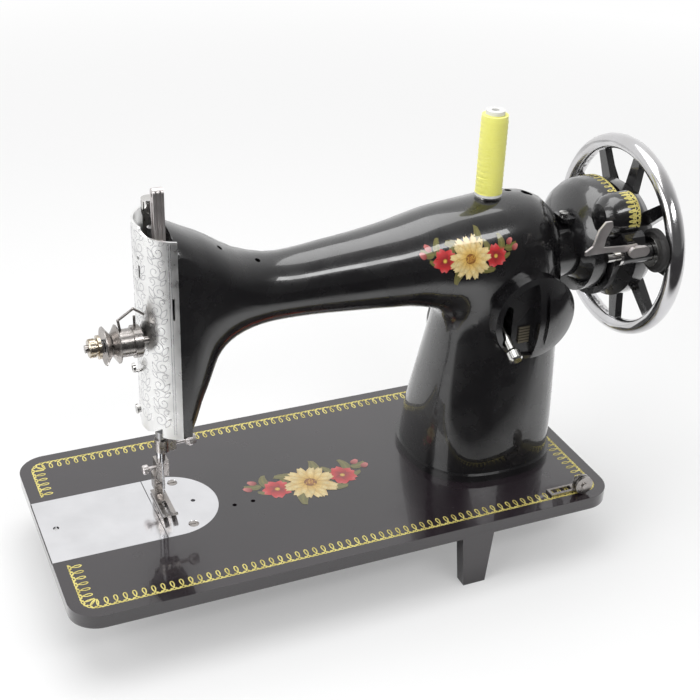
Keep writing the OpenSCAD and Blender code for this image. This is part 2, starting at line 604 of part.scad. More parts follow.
// ================= Head mechanism =================
module needle_bar_link() color("#8f9195") place() difference() {
    union() {
        bar_x(link_eye_r, link_x, link_x + 5, 0, sz + crank_r);
        bar_x(link_eye_r, link_x, link_x + 5, 0, stud_z);
        box([link_x, -2.6, stud_z], [link_x + 5, 2.6, sz + crank_r]);
    }
    bar_x(3 + run_gap, link_x - 1, link_x + 6, 0, sz + crank_r);
    bar_x(2.5, link_x - 1, link_x + 6, 0, stud_z);
}
module take_up_lever() color("#77797d") place() difference() {
    union() {
        box([lever_x0, lever_y0, sz + 3], [lever_x1, lever_y1, sz + 78.5]);
        bar_x((lever_y1 - lever_y0) / 2, lever_x0, lever_x1, (lever_y0 + lever_y1) / 2, sz + 78.5);
    }
    // Grooves down two faces, and the thread eye.
    box([lever_x0 - 1, lever_y0 + 2.2, sz + 50], [lever_x0 + 1.2, lever_y1 - 2.2, sz + 73]);
    for (x = [lever_x0 + 1.4, lever_x0 + 4]) box([x, lever_y0 - 1, sz + 50], [x + 0.9, lever_y0 + 0.7, sz + 90]);
    bar_x(1.3, lever_x0 - 1, lever_x1 + 1, (lever_y0 + lever_y1) / 2, sz + 77.5);
}
module needle_bar() color("#a9abae") place() {
    bar_z(needle_bar_r, clamp_z, sz + 53, needle_x, 0);
    difference() {
        union() {
            bar_z(4.7, stud_z - 6, stud_z + 6, needle_x, 0);
            bar_x(2.4, needle_x, link_x - 0.4, 0, stud_z);
        }
        bar_z(needle_bar_r, 0, sz + 53, needle_x, 0);
    }
}
module needle_clamp() color("#b8babd") place() difference() {
    union() {
        bar_z(4.8, clamp_z - 4, clamp_z + 5, needle_x, 0);
        box([needle_x, -3.6, clamp_z - 3.4], [needle_x + 8.5, 3.6, clamp_z + 3.6]);
    }
    bar_z(needle_bar_r, clamp_z - 0.1, clamp_z + 6, needle_x, 0);
    bar_z(1.05, clamp_z - 10, clamp_z + 6, needle_x, 0);
    bar_x(1.5, needle_x + 4, needle_x + 12, 0, clamp_z);
}
module needle_clamp_screw() color("#b8babd") place() {
    bar_x(1.45, needle_x + 4.3, needle_x + 17, 0, clamp_z);
    turn_x([[0, needle_x + 15.5], [2.4, needle_x + 15.5], [3.8, needle_x + 17.5], [4, needle_x + 19.5],
        [3.2, needle_x + 22], [0, needle_x + 22.6]], 0, clamp_z);
}
module needle() color("#c8cacd") place() difference() {
    union() {
        bar_z(1, clamp_z - 14, clamp_z - 0.2, needle_x, 0);
        bar_z(0.55, clamp_z - 36, clamp_z - 13.9, needle_x, 0);
        translate([needle_x, 0, clamp_z - 39]) cylinder(r1 = 0.1, r2 = 0.55, h = 3.05);
    }
    box([needle_x + 0.1, -0.2, clamp_z - 35], [needle_x + 2, 0.2, clamp_z - 33]);
}
module presser_bar() color("#a9abae") place() {
    bar_z(presser_bar_r, 18, sz + 35, presser_x, presser_y);
    // Guide bracket whose rear arm rests on the lifter's cam.
    bar_z(4.6, bracket_z, bracket_z + 9, presser_x - 3.3, presser_y);
    box([lifter_x - 10.8, presser_y, bracket_z], [lifter_x - 7.2, crank_r + 5.8, bracket_z + 9]);
}
module presser_spring() color("#8f9195") place() difference() {
    bar_z(4.9, bracket_z + 9.1, sz + 18.4, presser_x, presser_y);
    bar_z(presser_bar_r + 0.4, bracket_z, sz + 20, presser_x, presser_y);
}
module regulating_screw() color("#a9abae") place() difference() {
    union() {
        bar_z(4.7, sz + 18.5, knob_z, presser_x, presser_y);
        bar_z(5.2, knob_z - 0.5, knob_z + 9, presser_x, presser_y);
    }
    bar_z(presser_bar_r + 0.4, sz + 10, sz + 46, presser_x, presser_y);
    for (i = [0:11]) translate([presser_x, presser_y, knob_z + 1]) rotate([0, 0, i * 30])
        box([4.6, -0.5, 0], [8, 0.5, 7]);
}
module presser_lifter() color("#a9abae") place() {
    bar_y(2.5, crank_r + 3.3, face_r + 2.6, lifter_x, lifter_z);
    // Cam inside the head: its tip lies under the guide bracket.
    slab_y([[lifter_x + 4, lifter_z - 3.5], [lifter_x + 4, lifter_z + 1.9], [lifter_x - 10, lifter_z + 1.9],
        [lifter_x - 11, lifter_z - 1], [lifter_x - 9.5, lifter_z - 2.5]], crank_r + 3.3, crank_r + 5.7);
    // Handle behind the head, hanging down.
    slab_y([[lifter_x + 5, lifter_z + 4], [lifter_x - 4, lifter_z + 5], [lifter_x - 5.5, lifter_z - 4],
        [lifter_x - 13, lifter_z - 30], [lifter_x - 12, lifter_z - 36], [lifter_x - 7, lifter_z - 37],
        [lifter_x - 3, lifter_z - 32], [lifter_x + 5, lifter_z - 4]], face_r - 1, face_r + 2.6);
}
module presser_shank() color("#b8babd") place() difference() {
    union() {
        box([presser_x - 4.4, presser_y - 4.2, 17], [presser_x + 4, presser_y + 4.2, 29]);
        box([needle_x - 3.6, presser_y - 3.6, 7], [needle_x + 3.6, presser_y + 3.6, 18]);
    }
    bar_z(presser_bar_r, 17.9, 31, presser_x, presser_y);
    bar_x(1.5, needle_x - 8, presser_x, presser_y, shank_screw_z);
    bar_x(1.2, needle_x - 8, needle_x + 8, presser_y, 9);
    box([needle_x - 2.2, presser_y - 6, 0], [needle_x + 2.2, presser_y + 6, 12.5]);
}
module presser_foot() color("#b8babd") place() {
    difference() {
        union() {
            slab_x([[presser_y - 3, sole_z], [-12, sole_z], [-17, sole_z + 3.5], [-16, sole_z + 5],
                [-11, sole_z + 2.2], [presser_y + 4, sole_z + 2.5], [presser_y + 6, sole_z + 1]],
                needle_x - 4.4, needle_x + 4.4);
            slab_x([[presser_y - 3, sole_z + 1], [presser_y + 3, sole_z + 1], [presser_y + 2.6, 10.6],
                [presser_y - 2.6, 10.6]], needle_x - 1.9, needle_x + 1.9);
        }
        box([needle_x - 1.3, -30, -1], [needle_x + 1.3, 2.5, 12]);
    }
    // Hinge pin of the foot.
    bar_x(1.15, needle_x - 3.6, needle_x + 3.6, presser_y, 9);
}
module presser_foot_screw() color("#b8babd") place() {
    bar_x(1.45, needle_x - 8, presser_x - presser_bar_r - 0.1, presser_y, shank_screw_z);
    turn_x([[0, needle_x - 10.2], [2.4, needle_x - 10.2], [3.1, needle_x - 9.4], [3.1, needle_x - 6.8],
        [2.2, needle_x - 6.2], [0, needle_x - 6.2]], presser_y, shank_screw_z);
}

// ================= Thread path =================
module tension_stud() color("#a9abae") place() {
    bar_x(2.4, face_x - 35, face_x + 6, tension_y, tension_z);
    bar_x(5, disc_x + 1.35, face_x - 16, tension_y, tension_z);
    bar_x(8.5, face_x - 16.4, face_x - 1, tension_y, tension_z);
    // Bent wire guard over the check spring.
    for (i = [0:2]) rod(0.8, guard_wire[i], guard_wire[i + 1]);
    for (i = [1:2]) translate(guard_wire[i]) sphere(0.92, $fn = 32);
}
module tension_discs() color("#c8cacd") place() {
    // Two dished discs, back to back.
    turn_x([[2.45, disc_x - 1.1], [6.5, disc_x - 1.1], [11.6, disc_x - 4.4], [11.9, disc_x - 3.7],
        [7, disc_x - 0.2], [2.45, disc_x - 0.2]], tension_y, tension_z);
    turn_x([[2.45, disc_x + 0.4], [7, disc_x + 0.4], [11.9, disc_x + 3.7], [11.6, disc_x + 4.4],
        [6.5, disc_x + 1.3], [2.45, disc_x + 1.3]], tension_y, tension_z);
}
module tension_spring() color("#8f9195") place() difference() {
    bar_x(4.6, face_x - 25.8, disc_x - 1.15, tension_y, tension_z);
    bar_x(3, face_x - 27, disc_x, tension_y, tension_z);
}
module tension_nut() color("#c8b48a") place() difference() {
    turn_x([[2.45, face_x - 33], [5.2, face_x - 33], [5.8, face_x - 32.2], [5.8, face_x - 29],
        [5, face_x - 28.6], [5, face_x - 28], [7.2, face_x - 27.6], [7.2, face_x - 25.9],
        [2.45, face_x - 25.9]], tension_y, tension_z);
    for (i = [0:11]) translate([0, tension_y, tension_z]) rotate([i * 30, 0, 0])
        box([face_x - 34, -0.5, 5.35], [face_x - 29.5, 0.5, 7]);
}
module check_spring() color("#a9abae") place() {
    difference() {
        bar_x(10, face_x - 6.4, face_x - 2, tension_y, tension_z);
        bar_x(8.59, face_x - 8, face_x - 1, tension_y, tension_z);
    }
    bar_z(0.8, tension_z + 9, tension_z + 17, face_x - 4.6, tension_y);
}
module thread_guides() color("#a9abae") place() {
    difference() {
        bar_x(3, face_x - 5, face_x - 3.4, guide_eye[0], guide_eye[1] + 2.6);
        bar_x(1.6, face_x - 6, face_x, guide_eye[0], guide_eye[1] + 2.6);
    }
    bar_x(0.95, face_x - 4, face_x + 3, guide_eye[0], guide_eye[1]);
}
module spool_pin() color("#a9abae") place() {
    bar_z(2.18, spool_top - 11.5, spool_top + 55.5, spool_x, 0);
    bar_z(8.5, spool_top, spool_top + 1.4, spool_x, 0);
}
module thread_spool() color("#d8ee3c") place() difference() {
    union() {
        bar_z(9, spool_top + 1.5, spool_top + 3.5, spool_x, 0);
        bar_z(8.5, spool_top + 3, spool_top + 55, spool_x, 0);
        bar_z(6.2, spool_top + 54, spool_top + 58, spool_x, 0);
    }
    bar_z(2.5, spool_top, spool_top + 70, spool_x, 0);
}

// ================= Stitch regulator =================
module stitch_lever() color("#c8cacd") place() {
    bar_x(3, px - 22, px + 36, regulator_y, regulator_z);
    translate([px - 4.5, regulator_y, regulator_z]) rotate([30, 0, 0]) {
        bar_y(2.5, -30, 0);
        turn_y([[0, -38], [3.5, -38], [4.6, -36.8], [4.6, -31.5], [3.2, -29.5], [0, -29.5]]);
    }
}
module stitch_scale() color("#9a8a55") place()
    box([dome_x - 12, dome_y - 0.5, dome_z - 16], [dome_x - 4, dome_y + 0.7, dome_z - 4]);

// ================= Pillar and under-bed mechanism =================
module pitman() color("#8f9195") place() {
    difference() {
        union() {
            bar_x(shaft_r + pitman_e + 6.5, pitman_x + 0.5, pitman_x + 8.5, pitman_e, sz);
            box([pitman_x + 0.5, pitman_e - 5, rock_z + 16], [pitman_x + 8.5, pitman_e + 5, sz - 16]);
            bar_x(6, pitman_x + 0.5, pitman_x + 8.5, pitman_e, rock_z + 14);
        }
        bar_x(shaft_r + pitman_e + 3 + run_gap, pitman_x - 1, pitman_x + 10, pitman_e, sz);
        bar_x(3, pitman_x - 1, pitman_x + 10, pitman_e, rock_z + 14);
    }
}
module feed_fork() color("#8f9195") place() difference() {
    slab_x([[-22, sz + 12], [-22, sz - 38], [-32, -12], [-32, -20], [-24, -20], [-22, -12],
        [-12, sz - 38], [22, sz - 20], [22, sz + 12], [17.5, sz + 12], [17.5, sz - 17],
        [-17.5, sz - 17], [-17.5, sz + 12]], feed_cam_x, feed_cam_x + 7);
    bar_x(3 + run_gap, feed_cam_x - 1, feed_cam_x + 9, regulator_y, regulator_z);
}
module rock_shaft() color("#a9abae") place() {
    bar_x(rock_r, 118, pitman_x - 0.5, rock_y, rock_z);
    difference() {
        union() {
            slab_x([[rock_y - 4, rock_z - 6], [rock_y + 5, rock_z - 6], [rock_y + 5, rock_z + 6],
                [pitman_e + 3, rock_z + 18], [pitman_e - 4, rock_z + 12]], pitman_x - 10, pitman_x - 2);
            // Fork that drives the shuttle shaft.
            slab_x([[rock_y + 7, rock_z - 7], [rock_y + 7, rock_z + 7], [rock_y - 18, rock_z + 6],
                [rock_y - 18, rock_z + 3], [rock_y - 10, rock_z + 3], [rock_y - 10, rock_z - 3],
                [rock_y - 18, rock_z - 3], [rock_y - 18, rock_z - 6]], 118, 125);
        }
    }
    bar_x(2.8, pitman_x - 3, pitman_x, pitman_e, rock_z + 14);
}
module shuttle_shaft() color("#a9abae") place() {
    bar_x(rock_r, needle_x - 4, 117.5, 0, hook_z);
    slab_x([[-6, hook_z - 6], [6, hook_z - 6], [9, hook_z - 2], [9, hook_z + 2], [6, hook_z + 6],
        [-6, hook_z + 6]], 111, 117);
}
module race_body() color("#3a3a3d") place() difference() {
    union() {
        bar_x(race_r, race_x0, race_x1, 0, hook_z);
        bar_x(rock_r + 5, race_x1 - 1, race_x1 + 20, 0, hook_z);
        box([race_x1 - 2, -12, hook_z], [race_x1 + 18, 12, -bed_t - 9.1]);
    }
    bar_x(hook_r + 0.4, race_x0 - 1, race_x1 - 5, 0, hook_z);
    bar_x(rock_r + run_gap, race_x0 - 1, race_x1 + 30, 0, hook_z);
    box([race_x0 - 1, -race_r - 1, -11.3], [race_x1 + 2, race_r + 1, 10]);
    box([needle_x - 3, -7, hook_z], [race_x1 - 4, 7, 0]);
}
module race_ring() color("#c8cacd") place() difference() {
    bar_x(race_r - 1, race_x0 - 2.2, race_x0 - 0.1, 0, hook_z);
    bar_x(hook_r - 2, race_x0 - 4, race_x0 + 1, 0, hook_z);
    box([race_x0 - 4, -race_r - 1, -11.3], [race_x0 + 4, race_r + 1, 10]);
}
module shuttle_hook() color("#c8cacd") place() difference() {
    bar_x(hook_r, race_x0 + 0.3, needle_x - 1.6, 0, hook_z);
    bar_x(hook_r - 2.4, race_x0 - 1, needle_x - 4, 0, hook_z);
    bar_x(rock_r, race_x0, needle_x + 4, 0, hook_z);
    translate([0, 0, hook_z]) rotate([35, 0, 0]) box([race_x0 - 1, 3, 6], [needle_x - 4, 9, 30]);
}
module bobbin_case() color("#c8cacd") place() difference() {
    union() {
        bar_x(hook_r - 2.7, race_x0 - 3.5, needle_x - 4.6, 0, hook_z);
        box([race_x0 - 3.5, -2, hook_z + 8], [race_x0 - 2.5, 2, hook_z + 15.6]);
    }
    bar_x(hook_r - 3.6, race_x0 - 1.5, needle_x, 0, hook_z);
}
module bobbin() color("#b8babd") place() turn_x([[3, race_x0 - 1], [hook_r - 4.2, race_x0 - 1],
    [hook_r - 4.2, race_x0], [5, race_x0], [5, needle_x - 6.2], [hook_r - 4.2, needle_x - 6.2],
    [hook_r - 4.2, needle_x - 5.2], [3, needle_x - 5.2]], 0, hook_z);
module feed_rock_shaft() color("#a9abae") place() {
    bar_x(rock_r, needle_x - 19, px + 16, -feed_y, feed_z);
    difference() {
        for (x = [needle_x - 15, needle_x + 10])
            slab_x([[-feed_y - 5, feed_z - 3], [-feed_y + 4, feed_z - 5], [-feed_pin_y + 3.6, feed_pin_z + 1],
                [-feed_pin_y, feed_pin_z + 3.1], [-feed_pin_y - 3.6, feed_pin_z + 1]], x, x + 5);
        bar_x(2 + run_gap, needle_x - 20, needle_x + 20, -feed_pin_y, feed_pin_z);
    }
}
module feed_lift_shaft() color("#a9abae") place() {
    bar_x(rock_r, needle_x - 19, px + 16, feed_y, feed_z);
    slab_x([[feed_y + 5, feed_z - 3], [feed_y - 4, feed_z - 5], [feed_pin_y - 3, feed_pin_z - 3.1],
        [feed_pin_y + 2, feed_pin_z - 2.8]], needle_x - 4, needle_x + 4);
}
module feed_bar() color("#8f9195") place() {
    difference() {
        union() {
            box([needle_x - 8, -feed_pin_y - 2.5, feed_pin_z - 2],
                [needle_x + 8, feed_pin_y + 3, feed_pin_z + 1.4]);
            bar_x(2, needle_x - 15.5, needle_x + 15.5, -feed_pin_y, feed_pin_z);
            box([needle_x - 7, -9, feed_pin_z + 1.3], [needle_x + 7, 11, -needle_plate_t - 1.3]);
            for (x = [needle_x - 4.3, needle_x + 2.5], i = [0:11])
                slab_x([[-8 + i * 1.5, -4], [-6.5 + i * 1.5, -4], [-6.5 + i * 1.5, -1.4],
                    [-8 + i * 1.5, -0.6]], x, x + 1.8);
        }
        box([needle_x - 1.4, -2, -20], [needle_x + 1.4, 2, 0]);
    }
}

// ================= Bobbin winder =================
module winder_arm() color("#141416") place() difference() {
    union() {
        bar_x(6, wheel_x - 37, wheel_x - 15, spindle_y, spindle_z);
        slab_x([[spindle_y - 5, spindle_z], [spindle_y + 5, spindle_z - 4], [lobe_y + 6, lobe_z - 14],
            [lobe_y + 2, lobe_z - 12], [lobe_y - 13, lobe_z - 6], [spindle_y - 1, spindle_z + 12]],
            wheel_x - 36, wheel_x - 20);
        box([wheel_x - 37, spindle_y - 6, spindle_z + 3], [wheel_x - 31, spindle_y, spindle_z + 12]);
    }
    bar_x(3 + run_gap, wheel_x - 40, wheel_x, spindle_y, spindle_z);
    bar_y(1.5, spindle_y - 8, spindle_y + 4, wheel_x - 34, spindle_z + 8.5);
    bar_x(lobe_r + shell_gap, wheel_x - 40, wheel_x, lobe_y, lobe_z);
    bar_x(hood_r + shell_gap, wheel_x - 40, wheel_x, 0, sz);
}
module winder_spindle() color("#c8cacd") place() {
    bar_x(3, wheel_x - 47, wheel_x - 6.9, spindle_y, spindle_z);
    bar_x(6, wheel_x - 39.5, wheel_x - 37.3, spindle_y, spindle_z);
    bar_x(10, wheel_x - 14.6, wheel_x - 6.9, spindle_y, spindle_z);
}
module winder_tire() color("#1c1c1e") place() difference() {
    turn_x([[10, wheel_x - 12.5], [12.5, wheel_x - 12.5], [14.5, wheel_x - 11], [14.5, wheel_x - 8.5],
        [12.5, wheel_x - 7], [10, wheel_x - 7]], spindle_y, spindle_z);
}
module winder_latch() color("#d8dadd") place() {
    // Latch plate, and the arm to its pivot.
    slab_y([for (p = latch_plate) [wheel_x + p[0], spindle_z + p[1]]], spindle_y - 8.2, spindle_y - 6.6);
    // Stem and thumb pad.
    slab_y([for (p = latch_stem) [wheel_x + p[0], spindle_z + p[1]]], spindle_y - 8.8, spindle_y - 6.6);
    bar_y(3.4, spindle_y - 11.4, spindle_y - 8.6, wheel_x - 34, spindle_z + 6.5);
    bar_y(3.4, spindle_y - 11.4, spindle_y - 8.6, wheel_x - 26, spindle_z + 6.5);
    box([wheel_x - 34, spindle_y - 11.4, spindle_z + 3.1], [wheel_x - 26, spindle_y - 8.6, spindle_z + 9.9]);
    bar_y(1.45, spindle_y - 8.4, spindle_y + 3, wheel_x - 34, spindle_z + 8.5);
}
module winder_guide() color("#c8cacd") place() {
    bar_z(3, 0, 6, guide_x, guide_y);
    bar_z(1.95, -bed_t, 0.1, guide_x, guide_y);
    bar_y(6.5, guide_y - 8, guide_y - 6, guide_x, 7);
    bar_y(6.5, guide_y - 5.2, guide_y - 3.2, guide_x, 7);
    bar_y(2, guide_y - 9, guide_y + 2, guide_x, 7);
    difference() {
        slab_z([[guide_x - 22, guide_y - 3.6], [guide_x + 1, guide_y - 3.6], [guide_x + 1, guide_y + 4],
            [guide_x - 22, guide_y + 4]], 0, 1.6);
        slab_z([[guide_x - 20, guide_y - 1.4], [guide_x - 5, guide_y - 1.4], [guide_x - 5, guide_y + 2.4],
            [guide_x - 20, guide_y + 2.4]], -1, 3);
    }
}

bed();
arm();
front_bush();
rear_bush();
face_plate();
face_plate_screw();
needle_plate();
plate_screws();
slide_plate();
arm_shaft();
needle_crank();
pitman_eccentric();
feed_cam();
needle_bar_link();
pitman();
feed_fork();
take_up_lever();
needle_bar();
needle_clamp();
needle_clamp_screw();
needle();
presser_bar();
presser_spring();
regulating_screw();
presser_lifter();
presser_shank();
presser_foot();
presser_foot_screw();
tension_stud();
tension_discs();
tension_spring();
tension_nut();
check_spring();
thread_guides();
spool_pin();
thread_spool();
stitch_lever();
stitch_scale();
back_cover();
belt_guard();
hand_wheel();
stop_washer();
clamp_screw();
winder_arm();
winder_spindle();
winder_tire();
winder_latch();
winder_guide();
race_body();
race_ring();
shuttle_hook();
bobbin_case();
bobbin();
shuttle_shaft();
rock_shaft();
feed_rock_shaft();
feed_lift_shaft();
feed_bar();
cover_screws();
rear_guard_screw();
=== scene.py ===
# %% [markdown]
# # A flat-bed sewing machine head in black enamel
#
# The castings, shafts and small metal parts arrive as finished solids, each in its true
# place. This lesson gives them their looks: black enamel, nickel, chrome, steel and brass,
# a gold loop border, flower decorations and a cone of sewing thread.

import math
import random

import bmesh
import bpy
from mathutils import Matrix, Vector
from mathutils.bvhtree import BVHTree


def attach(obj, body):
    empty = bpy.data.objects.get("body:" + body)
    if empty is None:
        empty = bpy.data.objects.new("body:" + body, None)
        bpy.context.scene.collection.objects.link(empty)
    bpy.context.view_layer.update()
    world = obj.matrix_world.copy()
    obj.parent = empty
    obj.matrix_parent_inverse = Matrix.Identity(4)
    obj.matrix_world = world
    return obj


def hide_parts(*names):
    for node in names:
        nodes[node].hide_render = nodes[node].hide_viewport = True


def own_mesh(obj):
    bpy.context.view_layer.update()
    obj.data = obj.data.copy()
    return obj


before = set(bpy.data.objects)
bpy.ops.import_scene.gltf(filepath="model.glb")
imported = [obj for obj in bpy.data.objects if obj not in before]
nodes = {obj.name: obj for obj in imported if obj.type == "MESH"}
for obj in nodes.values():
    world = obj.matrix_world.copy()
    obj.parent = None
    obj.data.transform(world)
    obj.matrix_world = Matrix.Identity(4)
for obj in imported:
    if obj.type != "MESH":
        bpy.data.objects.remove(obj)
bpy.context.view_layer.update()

# %% [markdown]
# A machinist measures this head from three surfaces: the left end of the bed, the centre
# line of the arm, and the top of the bed. Working in those same millimetres keeps every
# number below readable, so one small function turns them into scene metres.

# %% Machinist's millimetres
MM = 0.001
ORIGIN = Vector((213.25, -2.5, -48.0))
WHEEL_X, SHAFT_Z = 411.0, 147.0


def at(x, y, z):
    """A point in machine millimetres, as scene metres."""
    return (Vector((x, y, z)) - ORIGIN) * MM


print("hand wheel's centre at", [round(c, 4) for c in at(WHEEL_X, 0, SHAFT_Z)])

# %% [markdown]
# ## A kit for finishes
#
# Every finish is a Principled shader fed by a few procedural patterns. Blender builds a
# shader from nodes joined by links, and writing each one out would bury the recipes. So
# one helper starts a finish with plain values, one adds any node, and one links a pattern
# into the shader.

# %% Start a finish, add a node, feed the shader
def principled(m):
    """The shader that every finish here ends in."""
    return m.node_tree.nodes["Principled BSDF"]


def new_finish(name, color, metallic=0.0, roughness=0.3, **sockets):
    """A Principled material with plain starting values."""
    m = bpy.data.materials.new(name)
    m.use_nodes = True
    shader = principled(m)
    shader.inputs["Base Color"].default_value = (*color, 1)
    shader.inputs["Metallic"].default_value = metallic
    shader.inputs["Roughness"].default_value = roughness
    for socket, value in sockets.items():
        shader.inputs[socket.replace("_", " ").title()].default_value = value
    return m


def put(m, kind, values=None, **settings):
    """Adds a node, sets its inputs by name or number, and links those that are sockets."""
    n = m.node_tree.nodes.new("ShaderNode" + kind)
    for key, value in settings.items():
        setattr(n, key, value)
    for key, value in (values or {}).items():
        if isinstance(value, bpy.types.NodeSocket):
            m.node_tree.links.new(value, n.inputs[key])
        else:
            n.inputs[key].default_value = value
    return n


def feed(m, socket, value):
    """Links a pattern into the Principled shader."""
    m.node_tree.links.new(value, principled(m).inputs[socket])


print("kit: new_finish, put, feed")

# %% [markdown]
# A pattern is a number that changes from place to place. Noise makes clouds and grain, a
# range stretches it to the values wanted, two colours are mixed by it, and a bump tilts
# the surface by it. They all read object coordinates, which on these solids are true
# metres, so one wave per millimetre is simply a scale of 1000.

# %% Patterns
COLOR_A, COLOR_B, MIXED_COLOR = 6, 7, 2


def place(m, stretch=(1, 1, 1)):
    """Object coordinates in metres, stretched along the axes."""
    coordinate = put(m, "TexCoord").outputs["Object"]
    return put(m, "Mapping", {"Vector": coordinate, "Scale": stretch}).outputs[0]


def along(m, axis):
    """How far along X, Y or Z a point lies, in metres."""
    return put(m, "SeparateXYZ", {0: place(m)}).outputs[axis]


def combine(m, operation, a, b):
    """Two patterns added, multiplied, or the larger of them."""
    return put(m, "Math", {0: a, 1: b}, operation=operation).outputs[0]


def grain(m, per_metre, detail=3, stretch=(1, 1, 1)):
    """Cloudy noise with a given number of features per metre."""
    return put(m, "TexNoise", {"Vector": place(m, stretch), "Scale": per_metre,
                               "Detail": detail}).outputs["Fac"]


def spread(m, value, low, high, start=0.3, end=0.7):
    """Stretches a pattern's range from start-end to low-high."""
    return put(m, "MapRange", {0: value, 1: start, 2: end, 3: low, 4: high}).outputs[0]


def blend(m, factor, a, b):
    """Mixes two colours by a pattern."""
    n = put(m, "Mix", {0: factor}, data_type="RGBA")
    for socket, value in ((n.inputs[COLOR_A], a), (n.inputs[COLOR_B], b)):
        if isinstance(value, bpy.types.NodeSocket):
            m.node_tree.links.new(value, socket)
        else:
            socket.default_value = (*value, 1)
    return n.outputs[MIXED_COLOR]


def bumps(m, *layers):
    """Stacks bump layers of (height pattern, depth in metres)."""
    normal = None
    for height, depth in layers:
        values = {"Height": height, "Distance": depth, "Strength": 1.0}
        if normal:
            values["Normal"] = normal
        normal = put(m, "Bump", values).outputs[0]
    feed(m, "Normal", normal)


print("patterns: grain, spread, blend, bumps")

# %% [markdown]
# ## Black enamel
#
# The castings were rubbed down, japanned in several coats and varnished. The base is
# nearly black; the varnish is a clear coat that mirrors the room. Under it the iron still
# shows as long soft waves, and years of dust and wiping leave faint dull patches. A
# finished solid keeps its mesh and only changes its material.

# %% Enamel
JAPAN = (0.0045, 0.0042, 0.0048)
CLOUDS, WIPES, WAVES, DUST = 14, 60, 55, 900
DUST_DEPTH, SHINE = 0.000004, 0.16


def dress(material, *names):
    """Gives finished solids a material."""
    for name in names:
        for s in nodes[name].material_slots:
            s.material = material
    print(material.name, "on", len(names), "solids")


def enamel(name, color, wave=0.00004, wear=0.1):
    """Lacquer under clear varnish: wave is the depth of the iron's waves, wear its dullness."""
    m = new_finish(name, color, roughness=0.25, coat_weight=1.0, coat_roughness=0.03)
    dusty = [c * 1.7 + 0.001 for c in color]
    feed(m, "Base Color", blend(m, spread(m, grain(m, CLOUDS, 4), 0, 1), color, dusty))
    feed(m, "Roughness", spread(m, grain(m, WIPES, 5), SHINE, SHINE + 2 * wear))
    bumps(m, (grain(m, WAVES, 1), wave), (grain(m, DUST, 2), DUST_DEPTH))
    return m


black = enamel("black enamel", JAPAN)
dress(black, "arm", "back_cover", "belt_guard", "winder_arm")

# %% [markdown]
# The bed's top is ground flat before it is enamelled, so its waves are much weaker than
# the arm's: it mirrors the pillar almost cleanly. Below the surface plate, the casting is
# only painted, and keeps the grain of the sand mould. Height tells the two apart, so one
# finish serves the whole casting.

# %% Bed enamel
PLATE_ENDS, SAND_STARTS, SAND_DEPTH = -5.5, -7.5, 0.00025

bed_black = enamel("bed enamel", (0.0095, 0.0062, 0.0085), wave=0.000006, wear=0.06)
under_plate = spread(bed_black, along(bed_black, "Z"), 1, 0,
                     start=at(0, 0, SAND_STARTS).z, end=at(0, 0, PLATE_ENDS).z)
sand = combine(bed_black, "MULTIPLY", grain(bed_black, 700, 4), under_plate)
ground_top = principled(bed_black).inputs["Normal"].links[0].from_socket
cast_sides = put(bed_black, "Bump", {"Height": sand, "Distance": SAND_DEPTH, "Normal": ground_top})
feed(bed_black, "Normal", cast_sides.outputs[0])
dress(bed_black, "bed")

# %% [markdown]
# ## Nickel, chrome and steel
#
# Plated parts are mirrors with history: broad smears of oil film that soften the
# reflection, and fine scratches from cleaning. One recipe serves every metal: its colour
# drifts towards a stain, its roughness wanders between two values, and two layers of bump
# are its scratches and dents. A ground plate keeps the marks of the grinding wheel, which
# are the same scratches stretched along one axis.

# %% Metal, and the bright plating
SMEARS, SCRATCHES, DENTS = 45, 2500, 70


def metal(name, color, low, high, scratch=0.000002, stretch=(1, 1, 1), stain=0.8, per_metre=120):
    """A metal with its roughness from low to high; stain is the shade of its smears."""
    m = new_finish(name, color, metallic=1.0, roughness=low)
    smeared = spread(m, grain(m, SMEARS, 4), 0, 1)
    feed(m, "Base Color", blend(m, smeared, color, [c * stain for c in color]))
    feed(m, "Roughness", spread(m, grain(m, per_metre, 5), low, high))
    bumps(m, (grain(m, SCRATCHES, 2, stretch), scratch), (grain(m, DENTS, 2), scratch * 4))
    return m


nickel = metal("polished nickel", (0.74, 0.73, 0.71), 0.10, 0.24)
plate = metal("ground nickel plate", (0.84, 0.84, 0.86), 0.09, 0.16, stretch=(0.06, 1, 1), stain=0.9)
dress(nickel, "face_plate_screw", "winder_spindle", "clamp_screw", "stop_washer", "stitch_lever",
      "cover_screws", "rear_guard_screw", "thread_guides", "spool_pin", "regulating_screw")
dress(plate, "needle_plate", "slide_plate")

# %% [markdown]
# The working steel isn't plated. Bars and levers are polished bright, cranks and cams sit
# dark under a film of oil, and the long shafts keep rings from the lathe, which are
# scratches stretched round the shaft.

# %% Steel
bright_steel = metal("bright steel", (0.52, 0.52, 0.53), 0.18, 0.38, stretch=(1, 1, 0.05), stain=0.7)
oiled_steel = metal("oiled steel", (0.34, 0.335, 0.34), 0.25, 0.5, scratch=0.000006, stain=0.55)
turned_steel = metal("turned shaft steel", (0.42, 0.42, 0.43), 0.2, 0.4, stretch=(1, 0.04, 0.04),
                     stain=0.6)
dress(bright_steel, "needle_bar", "needle", "presser_bar", "presser_lifter",
      "shuttle_hook", "bobbin_case", "bobbin", "race_ring")
dress(oiled_steel, "needle_crank", "pitman_eccentric", "feed_cam", "needle_bar_link", "pitman",
      "feed_fork", "feed_bar", "presser_spring", "tension_spring")
dress(turned_steel, "arm_shaft", "shuttle_shaft", "rock_shaft", "feed_rock_shaft", "feed_lift_shaft")

# %% [markdown]
# Bushes are bronze and the tension nut is brass. What fingers and cloth rub every day, such
# as the foot and the tension discs, has lost its mirror: there the plating is greyer, with
# finer patches, or worn to an even satin.

